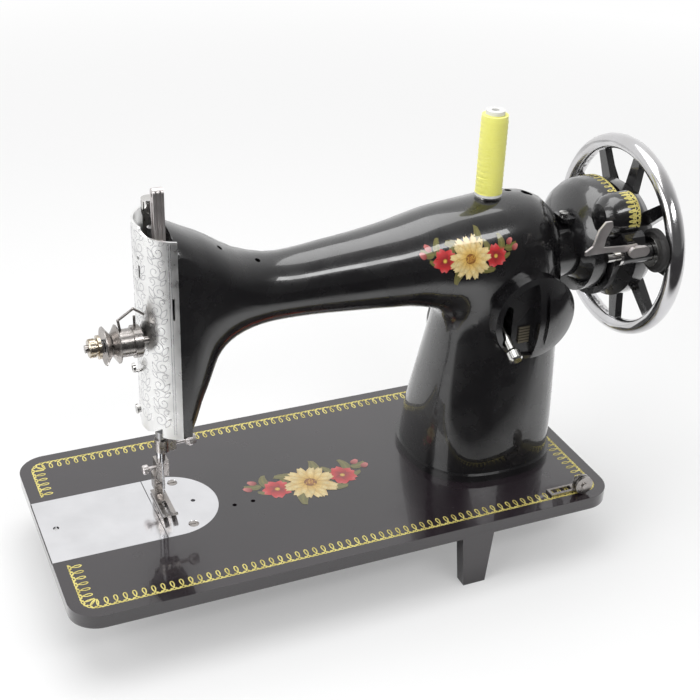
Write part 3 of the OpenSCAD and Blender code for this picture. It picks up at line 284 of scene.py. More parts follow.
# %% Bronze, brass and worn plating
bronze = metal("bush bronze", (0.48, 0.33, 0.16), 0.25, 0.45, stain=0.65)
brass = metal("worn brass", (0.60, 0.53, 0.43), 0.16, 0.36, stain=0.72)
worn_nickel = metal("worn nickel", (0.50, 0.47, 0.45), 0.18, 0.38, stain=0.6, per_metre=260)
satin = metal("satin nickel", (0.74, 0.70, 0.69), 0.36, 0.52, scratch=0.00001)
dress(bronze, "front_bush", "rear_bush")
dress(brass, "tension_nut")
dress(worn_nickel, "tension_discs", "tension_stud", "check_spring", "plate_screws",
      "needle_clamp", "presser_foot", "presser_shank", "winder_guide")
dress(satin, "winder_latch", "take_up_lever", "needle_clamp_screw", "presser_foot_screw")

# %% [markdown]
# The shuttle race is a dark machined casting, the winder's tyre is moulded rubber, and the
# little scale behind the stitch lever is printed brass. Rubber is dull with a fine bloom.
# The scale's marks are a wave pattern with its slopes cut steep, so they need no drawing.

# %% Casting, rubber and scale
iron = metal("dark cast iron", (0.10, 0.10, 0.105), 0.4, 0.65, scratch=0.00003, stain=0.6)
dress(iron, "race_body")

rubber = new_finish("moulded rubber", (0.018, 0.017, 0.017), roughness=0.6)
feed(rubber, "Roughness", spread(rubber, grain(rubber, 400, 4), 0.45, 0.75))
bumps(rubber, (grain(rubber, 1800, 3), 0.00003))
dress(rubber, "winder_tire")

scale = new_finish("printed brass scale", (0.42, 0.36, 0.2), metallic=0.8, roughness=0.35)
rows = put(scale, "TexWave", {"Vector": place(scale), "Scale": 150, "Distortion": 0.0},
           bands_direction="Z")
marks = spread(scale, rows.outputs["Fac"], 0, 1, start=0.72, end=0.8)
feed(scale, "Base Color", blend(scale, marks, (0.16, 0.14, 0.10), (0.03, 0.025, 0.02)))
feed(scale, "Roughness", spread(scale, grain(scale, 500, 4), 0.3, 0.55))
dress(scale, "stitch_scale")

# %% [markdown]
# ## The hand wheel
#
# One casting carries two finishes: the rim is ground and chromed, and the web, the hub
# and the pulley are enamelled. The distance from the shaft's axis tells them apart, which
# turns with the wheel because it is measured in the wheel's own coordinates. The brush
# left the edge of the enamel a little uneven.

# %% Hand wheel
RIM_INNER, RIM_BLEND, UNEVEN = 0.0594, 0.0004, 0.0003

wheel = enamel("wheel enamel and chrome", JAPAN, wave=0.00002)
axis = at(WHEEL_X, 0, SHAFT_Z)
from_axis = put(wheel, "VectorMath", {0: place(wheel), 1: axis}, operation="SUBTRACT")
flat = put(wheel, "VectorMath", {0: from_axis.outputs[0], 1: (0, 1, 1)}, operation="MULTIPLY")
radius = put(wheel, "VectorMath", {0: flat.outputs[0]}, operation="LENGTH").outputs["Value"]
edge = combine(wheel, "ADD", radius, spread(wheel, grain(wheel, 300, 3), -UNEVEN, UNEVEN))
rim = spread(wheel, edge, 0, 1, start=RIM_INNER, end=RIM_INNER + RIM_BLEND)
web_color = principled(wheel).inputs["Base Color"].links[0].from_socket
web_rough = principled(wheel).inputs["Roughness"].links[0].from_socket
smeared = spread(wheel, grain(wheel, SMEARS, 4), 0, 1)
chrome = blend(wheel, smeared, (0.66, 0.66, 0.68), (0.56, 0.55, 0.55))
feed(wheel, "Base Color", blend(wheel, rim, web_color, chrome))
feed(wheel, "Metallic", rim)
chrome_rough = spread(wheel, grain(wheel, 150, 5), 0.10, 0.22)
feed(wheel, "Roughness", put(wheel, "Mix", {0: rim, 2: web_rough, 3: chrome_rough}).outputs[0])
dress(wheel, "hand_wheel")

# %% [markdown]
# ## The face plate
#
# The half-round cover of the needle end is stamped from thin sheet, nickelled and
# decorated with scrolls pressed in between two border lines. The background of the
# pattern is frosted, so it looks paler and softer than a mirror. The pressed lines are
# coloured darker than the cover, which is a painted shade along them.

# %% Frosted nickel
frosted = metal("frosted nickel", (0.90, 0.90, 0.89), 0.24, 0.42, scratch=0.000008, stain=0.9)
dress(frosted, "face_plate")

# %% [markdown]
# The scrolls are real, narrow ridges laid on the sheet. A ray shot at the cover finds
# each point of the drawing on the curved surface, so the same flat drawing could be
# laid on any cover. A ribbon with three points across catches the light along its crest.

# %% Laying a drawing on a surface
def surface_of(name):
    """A solid's faces, sorted so that a ray soon finds the one it meets."""
    mesh = nodes[name].data
    return BVHTree.FromPolygons([v.co for v in mesh.vertices],
                                [p.vertices for p in mesh.polygons])


def probe(tree, start, direction):
    """Where a ray meets a solid, and the surface's normal there."""
    hit, normal, _, _ = tree.ray_cast(start, direction)
    if hit is None:
        return None
    return hit, (-normal if normal.dot(direction) > 0 else normal)


def ribbon(vertices, faces, path, width, crown, sink=0.00002):
    """Adds a crowned strip along a path of (point, normal) pairs."""
    first = len(vertices)
    count = len(path)
    for i, (point, normal) in enumerate(path):
        ahead = path[min(i + 1, count - 1)][0] - path[max(i - 1, 0)][0]
        side = ahead.cross(normal)
        if side.length < 1e-9:
            side = Vector((1, 0, 0))
        side.normalize()
        vertices.append(point - side * width / 2 - normal * sink)
        vertices.append(point + normal * crown)
        vertices.append(point + side * width / 2 - normal * sink)
    for i in range(count - 1):
        a = first + 3 * i
        faces.append((a, a + 1, a + 4, a + 3))
        faces.append((a + 1, a + 2, a + 5, a + 4))


print("cover:", len(nodes["face_plate"].data.polygons), "faces for the rays to meet")

# %% [markdown]
# What is made here from points and faces becomes a piece: a smooth-shaded object that
# rides on one of the machine's bodies, and takes the finish of one of its parts.

# %% A new piece
def piece(name, vertices, faces, material, body="frame"):
    """A new mesh piece that rides on a body."""
    mesh = bpy.data.meshes.new(name)
    mesh.from_pydata([tuple(v) for v in vertices], [], faces)
    mesh.validate()
    mesh.polygons.foreach_set("use_smooth", [True] * len(mesh.polygons))
    o = bpy.data.objects.new(name, mesh)
    bpy.context.scene.collection.objects.link(o)
    o.data.materials.append(material)
    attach(o, body)
    print(name, len(mesh.vertices), "points")
    return o


# %% [markdown]
# ## Rounding the castings
#
# A casting has no sharp edges: sand, grinding and thick enamel round them all. The solids
# come as many flat facets with hard edges, so each casting gets a stand-in with rounded
# ones. First there is something to mend: the boss of the stitch regulator's pin and the
# shoulders of the upper bearing block come a little through the arm's skin. Where the
# boss and the block lie is known, so a few sizes tell which faces are theirs.

# %% Find what stands proud of the arm
PIN_BOSS_X, PIN_BOSS_Y, PIN_BOSS_Z, PIN_BOSS_R = (285, 291), -22, 115, 6
PILLAR_SKIN_Y = -25.2
BLOCK_X, BLOCK_Z, BLOCK_CENTRE, BLOCK_R = (88.5, 94), (169, 188), 97, 26.3
HEAD_SKIN_Y = 22.0
NEAR = 0.05


def in_machine(p):
    """A point in scene metres, as machine millimetres."""
    return p / MM + ORIGIN


def on_pin_boss(x, y, z):
    """Whether a point is on the regulator pin's boss, outside the pillar's skin."""
    return (PIN_BOSS_X[0] - NEAR < x < PIN_BOSS_X[1] + NEAR and y < PILLAR_SKIN_Y
            and math.hypot(y - PIN_BOSS_Y, z - PIN_BOSS_Z) < PIN_BOSS_R + 2 * NEAR)


def beside_block(x, y, z):
    """Whether a point is where the bearing block's shoulders are."""
    return (BLOCK_X[0] < x < BLOCK_X[1] + NEAR and abs(y) > HEAD_SKIN_Y - 2 * NEAR
            and BLOCK_Z[0] < z < BLOCK_Z[1] + NEAR)


def proud(corners):
    """Whether a face is the boss's, or the flat or round side of a shoulder."""
    places = [in_machine(p) for p in corners]
    if all(on_pin_boss(*q) for q in places):
        return True
    if not all(beside_block(*q) for q in places):
        return False
    return (all(abs(q.x - BLOCK_X[1]) < NEAR for q in places)
            or all(abs(math.hypot(q.x - BLOCK_CENTRE, q.y) - BLOCK_R) < 2 * NEAR for q in places))


skin = nodes["arm"].data
print("proud:", sum(proud([skin.vertices[i].co for i in p.vertices]) for p in skin.polygons), "facets")

# %% [markdown]
# A fettler would grind such a place flush and fill what opens. The same here: the proud
# faces go, the block's top is trimmed to the skin, and a patch of triangles closes each
# side. A cut with a plane would be shorter, but it would go through the whole arm.

# %% Grind it flush
SKIN_SLOPE, OVER_SKIN, ON_SKIN = 0.16, 0.3, 0.05


def skin_at(x):
    """How far out the head's skin is at the bearing block's top."""
    return HEAD_SKIN_Y + (BLOCK_X[1] - x) * SKIN_SLOPE


def ground_flush(shape):
    """Takes off what stands proud of the arm, and closes the skin again."""
    gone = [f for f in shape.faces if proud([v.co for v in f.verts])]
    bmesh.ops.delete(shape, geom=gone, context="FACES")
    for v in shape.verts:
        x, y, z = in_machine(v.co)
        on_top = beside_block(x, y, z) and abs(z - BLOCK_Z[1]) < NEAR
        if on_top and abs(y) > skin_at(x) + OVER_SKIN:
            v.co.y = at(x, math.copysign(skin_at(x) + ON_SKIN, y), z).y
    rim = [e for e in shape.edges if e.is_boundary]
    middle = at(0, 0, 0).y
    closed = 0
    for side in (-1, 1):
        loop = [e for e in rim if (e.verts[0].co.y - middle) * side > 0]
        patch = bmesh.ops.triangle_fill(shape, use_beauty=True, edges=loop, normal=(0, side, 0))["geom"]
        for face in (f for f in patch if isinstance(f, bmesh.types.BMFace)):
            face.smooth = True
            face.normal_update()
            if face.normal.y * side < 0:
                face.normal_flip()
            closed += 1
    print("arm:", len(gone), "proud faces ground off,", closed, "put in their place")


# %% [markdown]
# Now the rounding. The points of each casting are joined where facets meet, flat
# neighbours are merged, the sharp edges are bevelled a little, and the shading is
# smoothed over the rest. As a modifier the bevel is one width for each casting, which is
# easy to change afterwards.

# %% Soften the castings
WELDS_PER_METRE = 200000
FLAT, SHARP = math.radians(0.6), math.radians(32)


def softened(name, body, width, mend=None):
    """A smooth stand-in for a casting, with its edges rounded by a bevel."""
    source = nodes[name].data
    seen, points, number = {}, [], []
    for v in source.vertices:
        key = tuple(round(c * WELDS_PER_METRE) for c in v.co)
        if key not in seen:
            seen[key] = len(points)
            points.append(v.co.copy())
        number.append(seen[key])
    faces = [[number[i] for i in p.vertices] for p in source.polygons]
    faces = [f for f in faces if len(set(f)) == len(f)]
    o = piece(name + "_rounded", points, faces, nodes[name].material_slots[0].material, body)
    shape = bmesh.new()
    shape.from_mesh(o.data)
    if mend:
        mend(shape)
    bmesh.ops.dissolve_limit(shape, angle_limit=FLAT, verts=shape.verts,
                             edges=shape.edges, use_dissolve_boundaries=False)
    shape.to_mesh(o.data)
    shape.free()
    o.data.set_sharp_from_angle(angle=SHARP)
    bevel = o.modifiers.new("rounded edges", "BEVEL")
    bevel.width, bevel.segments = width, 2
    bevel.limit_method, bevel.angle_limit = "ANGLE", SHARP
    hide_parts(name)


softened("arm", "frame", 0.0004, mend=ground_flush)
softened("bed", "frame", 0.0006)
softened("belt_guard", "frame", 0.0004)
softened("back_cover", "frame", 0.0005)
softened("winder_arm", "winder_arm", 0.0004)
softened("hand_wheel", "main_shaft", 0.0008)
softened("winder_latch", "winder_latch", 0.0003)
softened("take_up_lever", "take_up_lever", 0.0004)
softened("presser_foot", "presser_foot", 0.0003)
softened("presser_shank", "presser_bar", 0.0003)
softened("needle_clamp", "needle_bar", 0.0003)

# %% [markdown]
# ## Springs
#
# The solids keep each spring's room as a plain sleeve. The real ones are wound wire, so a
# round wire is swept along a helix. In the machine the presser spring is squeezed when its
# bar is lifted, towards its upper end under the regulating screw; here it is wound at one length.

# %% Wind the springs
SPRING_LOW, SPRING_HIGH, LIFT, PLAY = 135.4, 165.3, 7.2, 0.3
END_TURN = 0.7


def coil(name, node, start, end, radius, wire, turns, around=8, steps=22):
    """A wire spring between two points, standing for a sleeve-shaped solid."""
    n = (end - start).normalized()
    u = n.orthogonal().normalized()
    v = n.cross(u)
    rise = (end - start).length - 2 * wire
    points, faces = [], []
    count = int(turns * steps)
    for i in range(count + 1):
        t = i / count
        a = math.tau * turns * t
        # The end turns lie flat, and the rest climb steadily.
        climb = min(max((t * turns - END_TURN) / (turns - 2 * END_TURN), 0.0), 1.0)
        radial = u * math.cos(a) + v * math.sin(a)
        middle = start + n * (wire + rise * climb) + radial * radius
        for k in range(around):
            b = math.tau * k / around
            points.append(middle + (radial * math.cos(b) + n * math.sin(b)) * wire)
    for i in range(count):
        for k in range(around):
            a, b = i * around + k, i * around + (k + 1) % around
            faces.append((a, b, b + around, a + around))
    faces += [tuple(range(around))[::-1], tuple(range(count * around, (count + 1) * around))]
    o = piece(name, points, faces, oiled_steel)
    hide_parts(node)
    return o


presser_coil = coil("presser_coil", "presser_spring", at(83.5, 13.5, SPRING_LOW),
                    at(83.5, 13.5, SPRING_HIGH), radius=0.00415, wire=0.0007, turns=10)
at(83.5, 13.5, SPRING_HIGH)
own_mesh(presser_coil)
coil("tension_coil", "tension_spring", at(43.25, -11.5, 133), at(48.3, -11.5, 133),
     radius=0.0038, wire=0.00055, turns=4.2)

# %% [markdown]
# ## The scrolls
#
# The face plate's drawing is a climbing chain of S-scrolls with leaves between them, in
# four columns. A scroll is a spiral whose radius shrinks as it turns; it needs only a
# centre, a size and a direction. Distances across the drawing run round the cover, as on
# its sheet before it was bent.

# %% Scroll drawing
COLUMNS, ROWS, FIRST_ROW, ROW_STEP = (-21.5, -7.2, 7.2, 21.5), 10, 79, 12.6
BORDERS, BORDER_FOOT, BORDER_POINTS, BORDER_STEP = (-30.6, -29.2, 29.2, 30.6), 70, 90, 1.5


def scroll(centre, size, start, turn, steps=22, turns=1.4, shrink=0.82):
    """A spiral in the plane of the sheet, as (across, up) millimetres."""
    line = []
    for i in range(steps + 1):
        t = i / steps
        r = size * (1 - shrink * t)
        angle = start + turn * math.tau * turns * t
        line.append((centre[0] + r * math.cos(angle), centre[1] + r * math.sin(angle)))
    return line


def leaf(root, tip, belly):
    """A closed leaf outline between two points."""
    (x0, z0), (x1, z1) = root, tip
    nx, nz = -(z1 - z0), x1 - x0
    line = []
    for side in (1, -1):
        for i in range(9):
            t = i / 8 if side > 0 else 1 - i / 8
            b = side * belly * math.sin(math.pi * t) * (1 - 0.4 * t)
            line.append((x0 + (x1 - x0) * t + nx * b, z0 + (z1 - z0) * t + nz * b))
    return line


def cover_drawing():
    """All lines of the face plate's ornament, as lists of (round the sheet, height)."""
    lines = []
    for column in COLUMNS:
        out = 1 if column > 0 else -1
        for row in range(ROWS):
            z = FIRST_ROW + ROW_STEP * row
            flip = out if row % 2 else -out
            lines.append(scroll((column + flip * 1.4, z), 4.6, math.pi / 2, flip))
            lines.append(scroll((column - flip * 3.4, z + 6.2), 2.6, -math.pi / 2, flip, turns=1.1))
            lines.append(leaf((column - flip * 1.8, z - 4.6), (column - flip * 5.8, z + 2.2), 0.24))
            lines.append(leaf((column + flip * 2.2, z + 4.4), (column + flip * 6.0, z + 8.6), 0.26))
            lines.append([(column - flip * 5.6 + flip * 8.8 * i / 10,
                           z + 7.6 + 1.5 * math.sin(math.pi * i / 10)) for i in range(11)])
    for border in BORDERS:
        lines.append([(border, BORDER_FOOT + i * BORDER_STEP) for i in range(BORDER_POINTS)])
    return lines


print(len(cover_drawing()), "lines in the drawing")

# %% [markdown]
# Each line is now pressed into the cover. A ray shot from outside towards the head's axis
# meets the outer face of the sheet first. Where it slips through an opening, the line is
# broken, as a real pattern is by a punched slot.

# %% Press the scrolls into the cover
HEAD_X, COVER_R, SHEET, OUTSIDE = 97.0, 28.0, 0.0006, 0.05
RIDGE_WIDTH, RIDGE_HEIGHT = 0.0007, 0.00012

cover = surface_of("face_plate")


def on_cover(across, up):
    """The cover's skin at a point of the drawing, or None where it has an opening."""
    angle = across / COVER_R
    inward = Vector((math.cos(angle), -math.sin(angle), 0))
    found = probe(cover, at(HEAD_X, 0, up) - inward * OUTSIDE, inward)
    if found and (found[0] - at(HEAD_X, 0, up)).length > COVER_R * MM - SHEET:
        return found
    return None


def unbroken(line):
    """The stretches of a line between the cover's openings."""
    path = []
    for across, up in line:
        found = on_cover(across, up)
        if found:
            path.append(found)
        else:
            yield path
            path = []
    yield path


ridge_points, ridge_faces = [], []
for line in cover_drawing():
    for path in unbroken(line):
        if len(path) > 2:
            ribbon(ridge_points, ridge_faces, path, RIDGE_WIDTH, RIDGE_HEIGHT)
# The ridges' colour is darker than the frosted cover: a painted shade along the pressed scrolls.
shaded_ridge_metal = metal("pressed nickel lines with painted shade", (0.66, 0.66, 0.67), 0.2, 0.36)
piece("face_plate_scrolls", ridge_points, ridge_faces, shaded_ridge_metal)

# %% [markdown]
# ## The gold border
#
# The bed's edge carries a gold transfer: a pen line that loops over itself like cursive
# writing, standing on a finer twisted line. The route of both follows the bed's outline,
# turns its corners in small arcs, and stops at the slide plate.

# %% Border line
BED_LENGTH, BED_FRONT, BED_BACK = 371.5, -91.5, 86.5
SLIDE_FRONT, SLIDE_BACK = -36.0, 36.0
INSET, GAP, BEND = 8.6, 2, 9
STEP, BEND_STEPS = 0.5, 12


def rounded_route(corners, radius):
    """Points and inward normals along a polyline with rounded corners, in millimetres."""
    route = []
    for i in range(len(corners) - 1):
        a, b = Vector(corners[i]), Vector(corners[i + 1])
        ahead = (b - a).normalized()
        inward = Vector((-ahead.y, ahead.x))
        start = a if i == 0 else a + ahead * radius
        end = b if i == len(corners) - 2 else b - ahead * radius
        count = max(2, int((end - start).length / STEP))
        for k in range(count + 1):
            route.append((start + (end - start) * k / count, inward))
        if i < len(corners) - 2:
            centre = end + inward * radius
            for k in range(1, BEND_STEPS):
                swing = math.pi / 2 * k / BEND_STEPS
                normal = inward * math.cos(swing) - ahead * math.sin(swing)
                route.append((centre - normal * radius, normal))
    return route


left, right = INSET, BED_LENGTH - INSET
front, back = BED_FRONT + INSET, BED_BACK - INSET
bed_route = rounded_route([(left, SLIDE_FRONT - GAP), (left, front), (right, front),
                           (right, back), (left, back), (left, SLIDE_BACK + GAP)], BEND)
print("border", round(sum((q - p).length for (p, _), (q, _) in zip(bed_route, bed_route[1:]))), "mm")

# %% [markdown]
# A point on a rolling wheel draws loops when it sits outside the wheel. That curve, the
# trochoid, is all the pen line needs. Each of its points is placed by its distance along
# the route, so the loops stay even round the corners.

# %% Loops
def loops(route, pitch, height, reach, base=0.0, per_loop=26):
    """A trochoid along a route: loops of a given height that lean back by reach."""
    lengths = [0.0]
    for (p, _), (q, _) in zip(route, route[1:]):
        lengths.append(lengths[-1] + (q - p).length)
    total = lengths[-1]
    line, j = [], 0
    count = int(total / pitch)
    for i in range(count * per_loop + 1):
        turn = i / per_loop * math.tau
        s = i / per_loop * total / count + reach * math.sin(turn)
        s = min(max(s, 0.0), total)
        while j < len(lengths) - 2 and lengths[j + 1] < s:
            j += 1
        while j > 0 and lengths[j] > s:
            j -= 1
        t = (s - lengths[j]) / max(lengths[j + 1] - lengths[j], 1e-9)
        (p, n), (q, m) = route[j], route[j + 1]
        inward = (n + (m - n) * t).normalized()
        line.append(p + (q - p) * t + inward * (base + height / 2 * (1 - math.cos(turn))))
    return line


tall_loops = loops(bed_route, 5.76, 7.6, 2.3)
twisted_line = loops(bed_route, 2.88, 1.5, 1.0, base=-0.4)
print(len(tall_loops), "points of loops,", len(twisted_line), "of twist")

# %% [markdown]
# A transfer has almost no thickness, but a sheet laid exactly on another would flicker.
# So each line is a ribbon two hundredths of a millimetre above the enamel, with a crown
# that is three more. Patches of the gold are rubbed brown.

# %% Gold on the bed
PEN, FINE_PEN, GILT = 0.0008, 0.0007, 0.00003
UP = Vector((0, 0, 1))


def bed_path(line, lift=0.00002):
    """Lays a line of (along, across) millimetres on the bed's top."""
    return [(at(p.x, p.y, 0) + UP * lift, UP) for p in line]


gold_points, gold_faces = [], []
ribbon(gold_points, gold_faces, bed_path(tall_loops), PEN, GILT, 0)
ribbon(gold_points, gold_faces, bed_path(twisted_line), FINE_PEN, GILT, 0)
gold = new_finish("gold leaf", (0.68, 0.58, 0.18), metallic=0.35, roughness=0.36)
rubbed = spread(gold, grain(gold, 160, 4), 0, 1, start=0.42, end=0.75)
feed(gold, "Base Color", blend(gold, rubbed, (0.72, 0.63, 0.20), (0.42, 0.34, 0.08)))
feed(gold, "Roughness", spread(gold, grain(gold, 500, 4), 0.25, 0.5))
piece("bed_gold_border", gold_points, gold_faces, gold)

# %% [markdown]
# The belt guard carries the same loops round its open edge, and a broader band round the
# winder's housing in front of it. On a drum, a distance round it becomes an angle.

# %% Gold on the belt guard
HOOD_R, HOOD_END = 44.0, 393.0
HOOD_BANDS = ((1.6, 4.4, 5.2, 1.7, 0.0007), (0.8, 2.4, 1.3, 0.8, 0.0006))
LOBE_R, LOBE_END, LOBE_Y, LOBE_Z = 15.0, 389.0, -37.0, 181.0
LOBE_BANDS = ((2.0, 3.2, 7.5, 1.2, 0.0008), (1.2, 1.9, 1.2, 0.7, 0.0006), (4.2, 2.6, 2.6, 1.0, 0.0007))


def drum_path(line, radius, y, z, end, lift=0.00003):
    """Lays (round, from the end) millimetres on a drum along X; round starts at its top."""
    path = []
    for p in line:
        angle = p.x / radius
        normal = Vector((0, -math.sin(angle), math.cos(angle)))
        path.append((at(end - p.y, y, z) + normal * (radius * MM + lift), normal))
    return path


def straight_route(start, end):
    """Points and normals of a straight route, in millimetres round a drum."""
    count = int((end - start) / STEP)
    return [(Vector((start + (end - start) * i / count, 0)), Vector((0, 1))) for i in range(count + 1)]


band_points, band_faces = [], []
for bands, route, drum in ((HOOD_BANDS, straight_route(-62, 22), (HOOD_R, 0, SHAFT_Z, HOOD_END)),
                           (LOBE_BANDS, straight_route(-2, 27), (LOBE_R, LOBE_Y, LOBE_Z, LOBE_END))):
    for base, pitch, height, reach, width in bands:
        line = loops(route, pitch, height, reach, base=base)
        ribbon(band_points, band_faces, drum_path(line, *drum), width, GILT, 0)
piece("guard_gold_bands", band_points, band_faces, gold)

# %% [markdown]
# ## Flower decorations
#
# Such machines carry flower transfers under the varnish. These are a plain garden spray
# of my own: a cream daisy between two small red blossoms, with leaves and buds. Each
# petal is a small sheet of points with its own colours, paler at the tip and darker at
# the root.

# %% Petals
NOTCH_FROM = 0.7


def petal_sheet(root, angle, length, width, tip_curl=0.0, rows=9, columns=5, notch=0.0):
    """Points of one petal in the drawing's plane, with (along, across) for its colour."""
    grid = []
    for i in range(rows):
        t = i / (rows - 1)
        # The outline swells from a narrow root and closes in again at the tip.
        half = width / 2 * math.sin(math.pi * (0.10 + 0.80 * t ** 0.8)) ** 0.8
        bend = tip_curl * t * t
        for k in range(columns):
            s = 2 * k / (columns - 1) - 1
            x, y = length * (t - notch * t * (1 - abs(s)) * (t > NOTCH_FROM)), s * half
            c, w = math.cos(angle + bend), math.sin(angle + bend)
            grid.append(((root[0] + x * c - y * w, root[1] + x * w + y * c), t, s))
    return grid, rows, columns


def tint(a, b, t):
    """A colour on the way from a to b."""
    t = min(max(t, 0.0), 1.0)
    return tuple(x + (y - x) * t for x, y in zip(a, b))


print("a petal has", len(petal_sheet((0, 0), 0, 10, 4)[0]), "points")

# %% [markdown]
# A printer lays one colour over another, and each covers what is under it. The spray does
# so with sheets, each three thousandths of a millimetre above the last: enough to keep
# them apart, and too little to be seen as a step.

# %% A spray of sheets
FIRST_LAYER, LAYER = 0.00003, 0.000003


class Spray:
    """Collects coloured sheets, each a little above the last."""

    def __init__(self, lay):
        self.lay, self.points, self.faces, self.colors = lay, [], [], []
        self.layer = 0

    def sheet(self, grid, rows, columns, shade):
        """Adds a grid of points, coloured by shade(along, across)."""
        self.layer += 1
        first = len(self.points)
        for (u, v), t, s in grid:
            self.points.append(self.lay(u, v, FIRST_LAYER + self.layer * LAYER))
            self.colors.append(shade(t, s))
        for i in range(rows - 1):
            for k in range(columns - 1):
                a = first + i * columns + k
                self.faces.append((a, a + 1, a + columns + 1, a + columns))

    def disc(self, centre, r, shade, rings=4, around=20):
        """Adds a round sheet, such as a flower's eye."""
        grid = []
        for i in range(rings + 1):
            for k in range(around + 1):
                angle = math.tau * k / around
                rr = r * i / rings
                grid.append(((centre[0] + rr * math.cos(angle), centre[1] + rr * math.sin(angle)),
                             i / rings, k / around))
        self.sheet(grid, rings + 1, around + 1, shade)


print("sheets", LAYER, "m apart")

# %% [markdown]
# A blossom is petals in a ring around an eye. The daisy has two rings of slim petals; the
# small flowers have five broad notched ones. A little seeded unevenness in angle and size
# keeps them from looking stamped.

# %% Flowers
CREAM, BUTTER, OCHRE = (0.86, 0.70, 0.34), (0.80, 0.52, 0.13), (0.42, 0.18, 0.03)
RED, DEEP_RED, PINK = (0.60, 0.02, 0.03), (0.20, 0.005, 0.01), (0.80, 0.25, 0.24)
UMBER, BUTTER_AT, PINK_AT = (0.45, 0.22, 0.04), 0.42, 0.72
DAISY_RINGS = ((15, 1.0), (12, 0.74))
luck = random.Random(7)


def cream_petal(t, s):
    """Ochre at the root, then butter, then cream at the tip, with brown sides."""
    c = tint(OCHRE, BUTTER, t * 2.4) if t < BUTTER_AT else tint(BUTTER, CREAM, (t - BUTTER_AT) * 2.2)
    return tint(c, UMBER, 0.55 * abs(s) ** 3 * (1 - t * 0.4))


def red_petal(t, s):
    """Deep red at the root, and pink in the middle of the tip."""
    return tint(tint(DEEP_RED, RED, t * 1.6), PINK, (t - PINK_AT) * 1.8 * (1 - 0.5 * abs(s)))


def daisy(spray, centre, size):
    """Two rings of cream petals round a brown eye with yellow dots."""
    for ring, (count, share) in enumerate(DAISY_RINGS):
        for i in range(count):
            angle = math.tau * (i + 0.4 * ring) / count + luck.uniform(-0.06, 0.06)
            long = size * share * luck.uniform(0.93, 1.04)
            curl = luck.uniform(-0.12, 0.12)
            grid = petal_sheet(centre, angle, long, size * 0.40 * share, curl, notch=0.06)
            dim = luck.uniform(0.86, 1.0)
            spray.sheet(*grid, lambda t, s: tuple(dim * x for x in cream_petal(t, s)))
    spray.disc(centre, size * 0.23, lambda t, s: tint((0.50, 0.20, 0.03), (0.20, 0.07, 0.01), t))
    for _ in range(26):
        angle, far = luck.uniform(0, math.tau), size * 0.2 * math.sqrt(luck.random())
        dot = (centre[0] + far * math.cos(angle), centre[1] + far * math.sin(angle))
        spray.disc(dot, size * 0.026, lambda t, s: tint((0.85, 0.55, 0.10), (0.5, 0.24, 0.03), t), 1, 6)


def blossom(spray, centre, size, start):
    """Five broad red petals round a yellow eye."""
    for i in range(5):
        angle = start + math.tau * i / 5 + luck.uniform(-0.08, 0.08)
        grid = petal_sheet(centre, angle, size * luck.uniform(0.94, 1.04), size * 0.95, notch=0.14)
        spray.sheet(*grid, red_petal)
    spray.disc(centre, size * 0.17, lambda t, s: tint((0.85, 0.6, 0.12), (0.5, 0.25, 0.03), t))


print("a daisy of", sum(count for count, _ in DAISY_RINGS), "petals")

# %% [markdown]
# Leaves are petals too, long and green with a pale vein, and a stem is a strip three
# points wide. The garland lays stems and leaves first and the flowers over them, with the
# daisy on top of all.

# %% Leaves, stems and the garland
GREEN, OLIVE, STEM_GREEN = (0.06, 0.10, 0.02), (0.16, 0.14, 0.03), (0.09, 0.10, 0.02)
VEIN, VEIN_HALF = (0.30, 0.24, 0.06), 0.1
SIDE_LEAVES = ((0.45, 0.9, 0.9), (0.62, -0.8, 0.8), (0.8, 0.8, 0.75), (0.92, -0.6, 0.6))
BUDS = ((0.98, 0.48), (1.12, 0.20))


def green_leaf(t, s):
    """Green with olive sides, and a pale vein along the middle."""
    return tint(tint(GREEN, OLIVE, abs(s)), VEIN, 0.6 if abs(s) < VEIN_HALF else 0.1 * t)


def foliage(spray, root, angle, length, width, curl):
    """One leaf."""
    spray.sheet(*petal_sheet(root, angle, length, width, curl, rows=11), green_leaf)


def stem(spray, line, width):
    """A narrow strip along a line."""
    grid = []
    for i, (u, v) in enumerate(line):
        j = min(i + 1, len(line) - 1)
        du, dv = line[j][0] - line[j - 1][0], line[j][1] - line[j - 1][1]
        size = math.hypot(du, dv)
        for s in (-1, 0, 1):
            grid.append(((u - s * width / 2 * dv / size, v + s * width / 2 * du / size), i / len(line), s))
    spray.sheet(grid, len(line), 3, lambda t, s: STEM_GREEN)


def garland(spray, across, tall, size):
    """Leaves, stems, two red blossoms, buds and the daisy, centred on zero."""
    def on_stem(t):
        return side * across * t, -tall * 0.25 + tall * 0.7 * t * t

    for side in (-1, 1):
        stem(spray, [on_stem(i / 14) for i in range(15)], 0.7)
        for t, lean, long in SIDE_LEAVES:
            angle = (0.5 + lean) if side > 0 else (math.pi - 0.5 - lean)
            foliage(spray, on_stem(t), angle, size * long, size * 0.34, side * 0.35)
        blossom(spray, (side * across * 0.66, tall * 0.02), size * 0.56, side * 0.5)
        for t, up in BUDS:
            bud = (side * across * t, tall * up)
            grid = petal_sheet(bud, math.pi / 2 - side * 0.9, size * 0.34, size * 0.26)
            spray.sheet(*grid, lambda t, s: tint(DEEP_RED, PINK, t * 0.8))
    for angle in (0.9, 2.25, 3.9, 5.5):
        foliage(spray, (0, 0), angle, size * 1.35, size * 0.5, 0.3)
    daisy(spray, (0, 0), size)


print("a garland has", 2 * len(BUDS), "buds")

# %% [markdown]
# One spray lies on the bed in front of the pillar. Its colours are stored on the points
# and read by the finish, which speckles them like an old print. Colours on points need no
# image, and their edges stay sharp from near by.

# %% The bed's spray
BED_SPRAY = (181.0, -8.0)

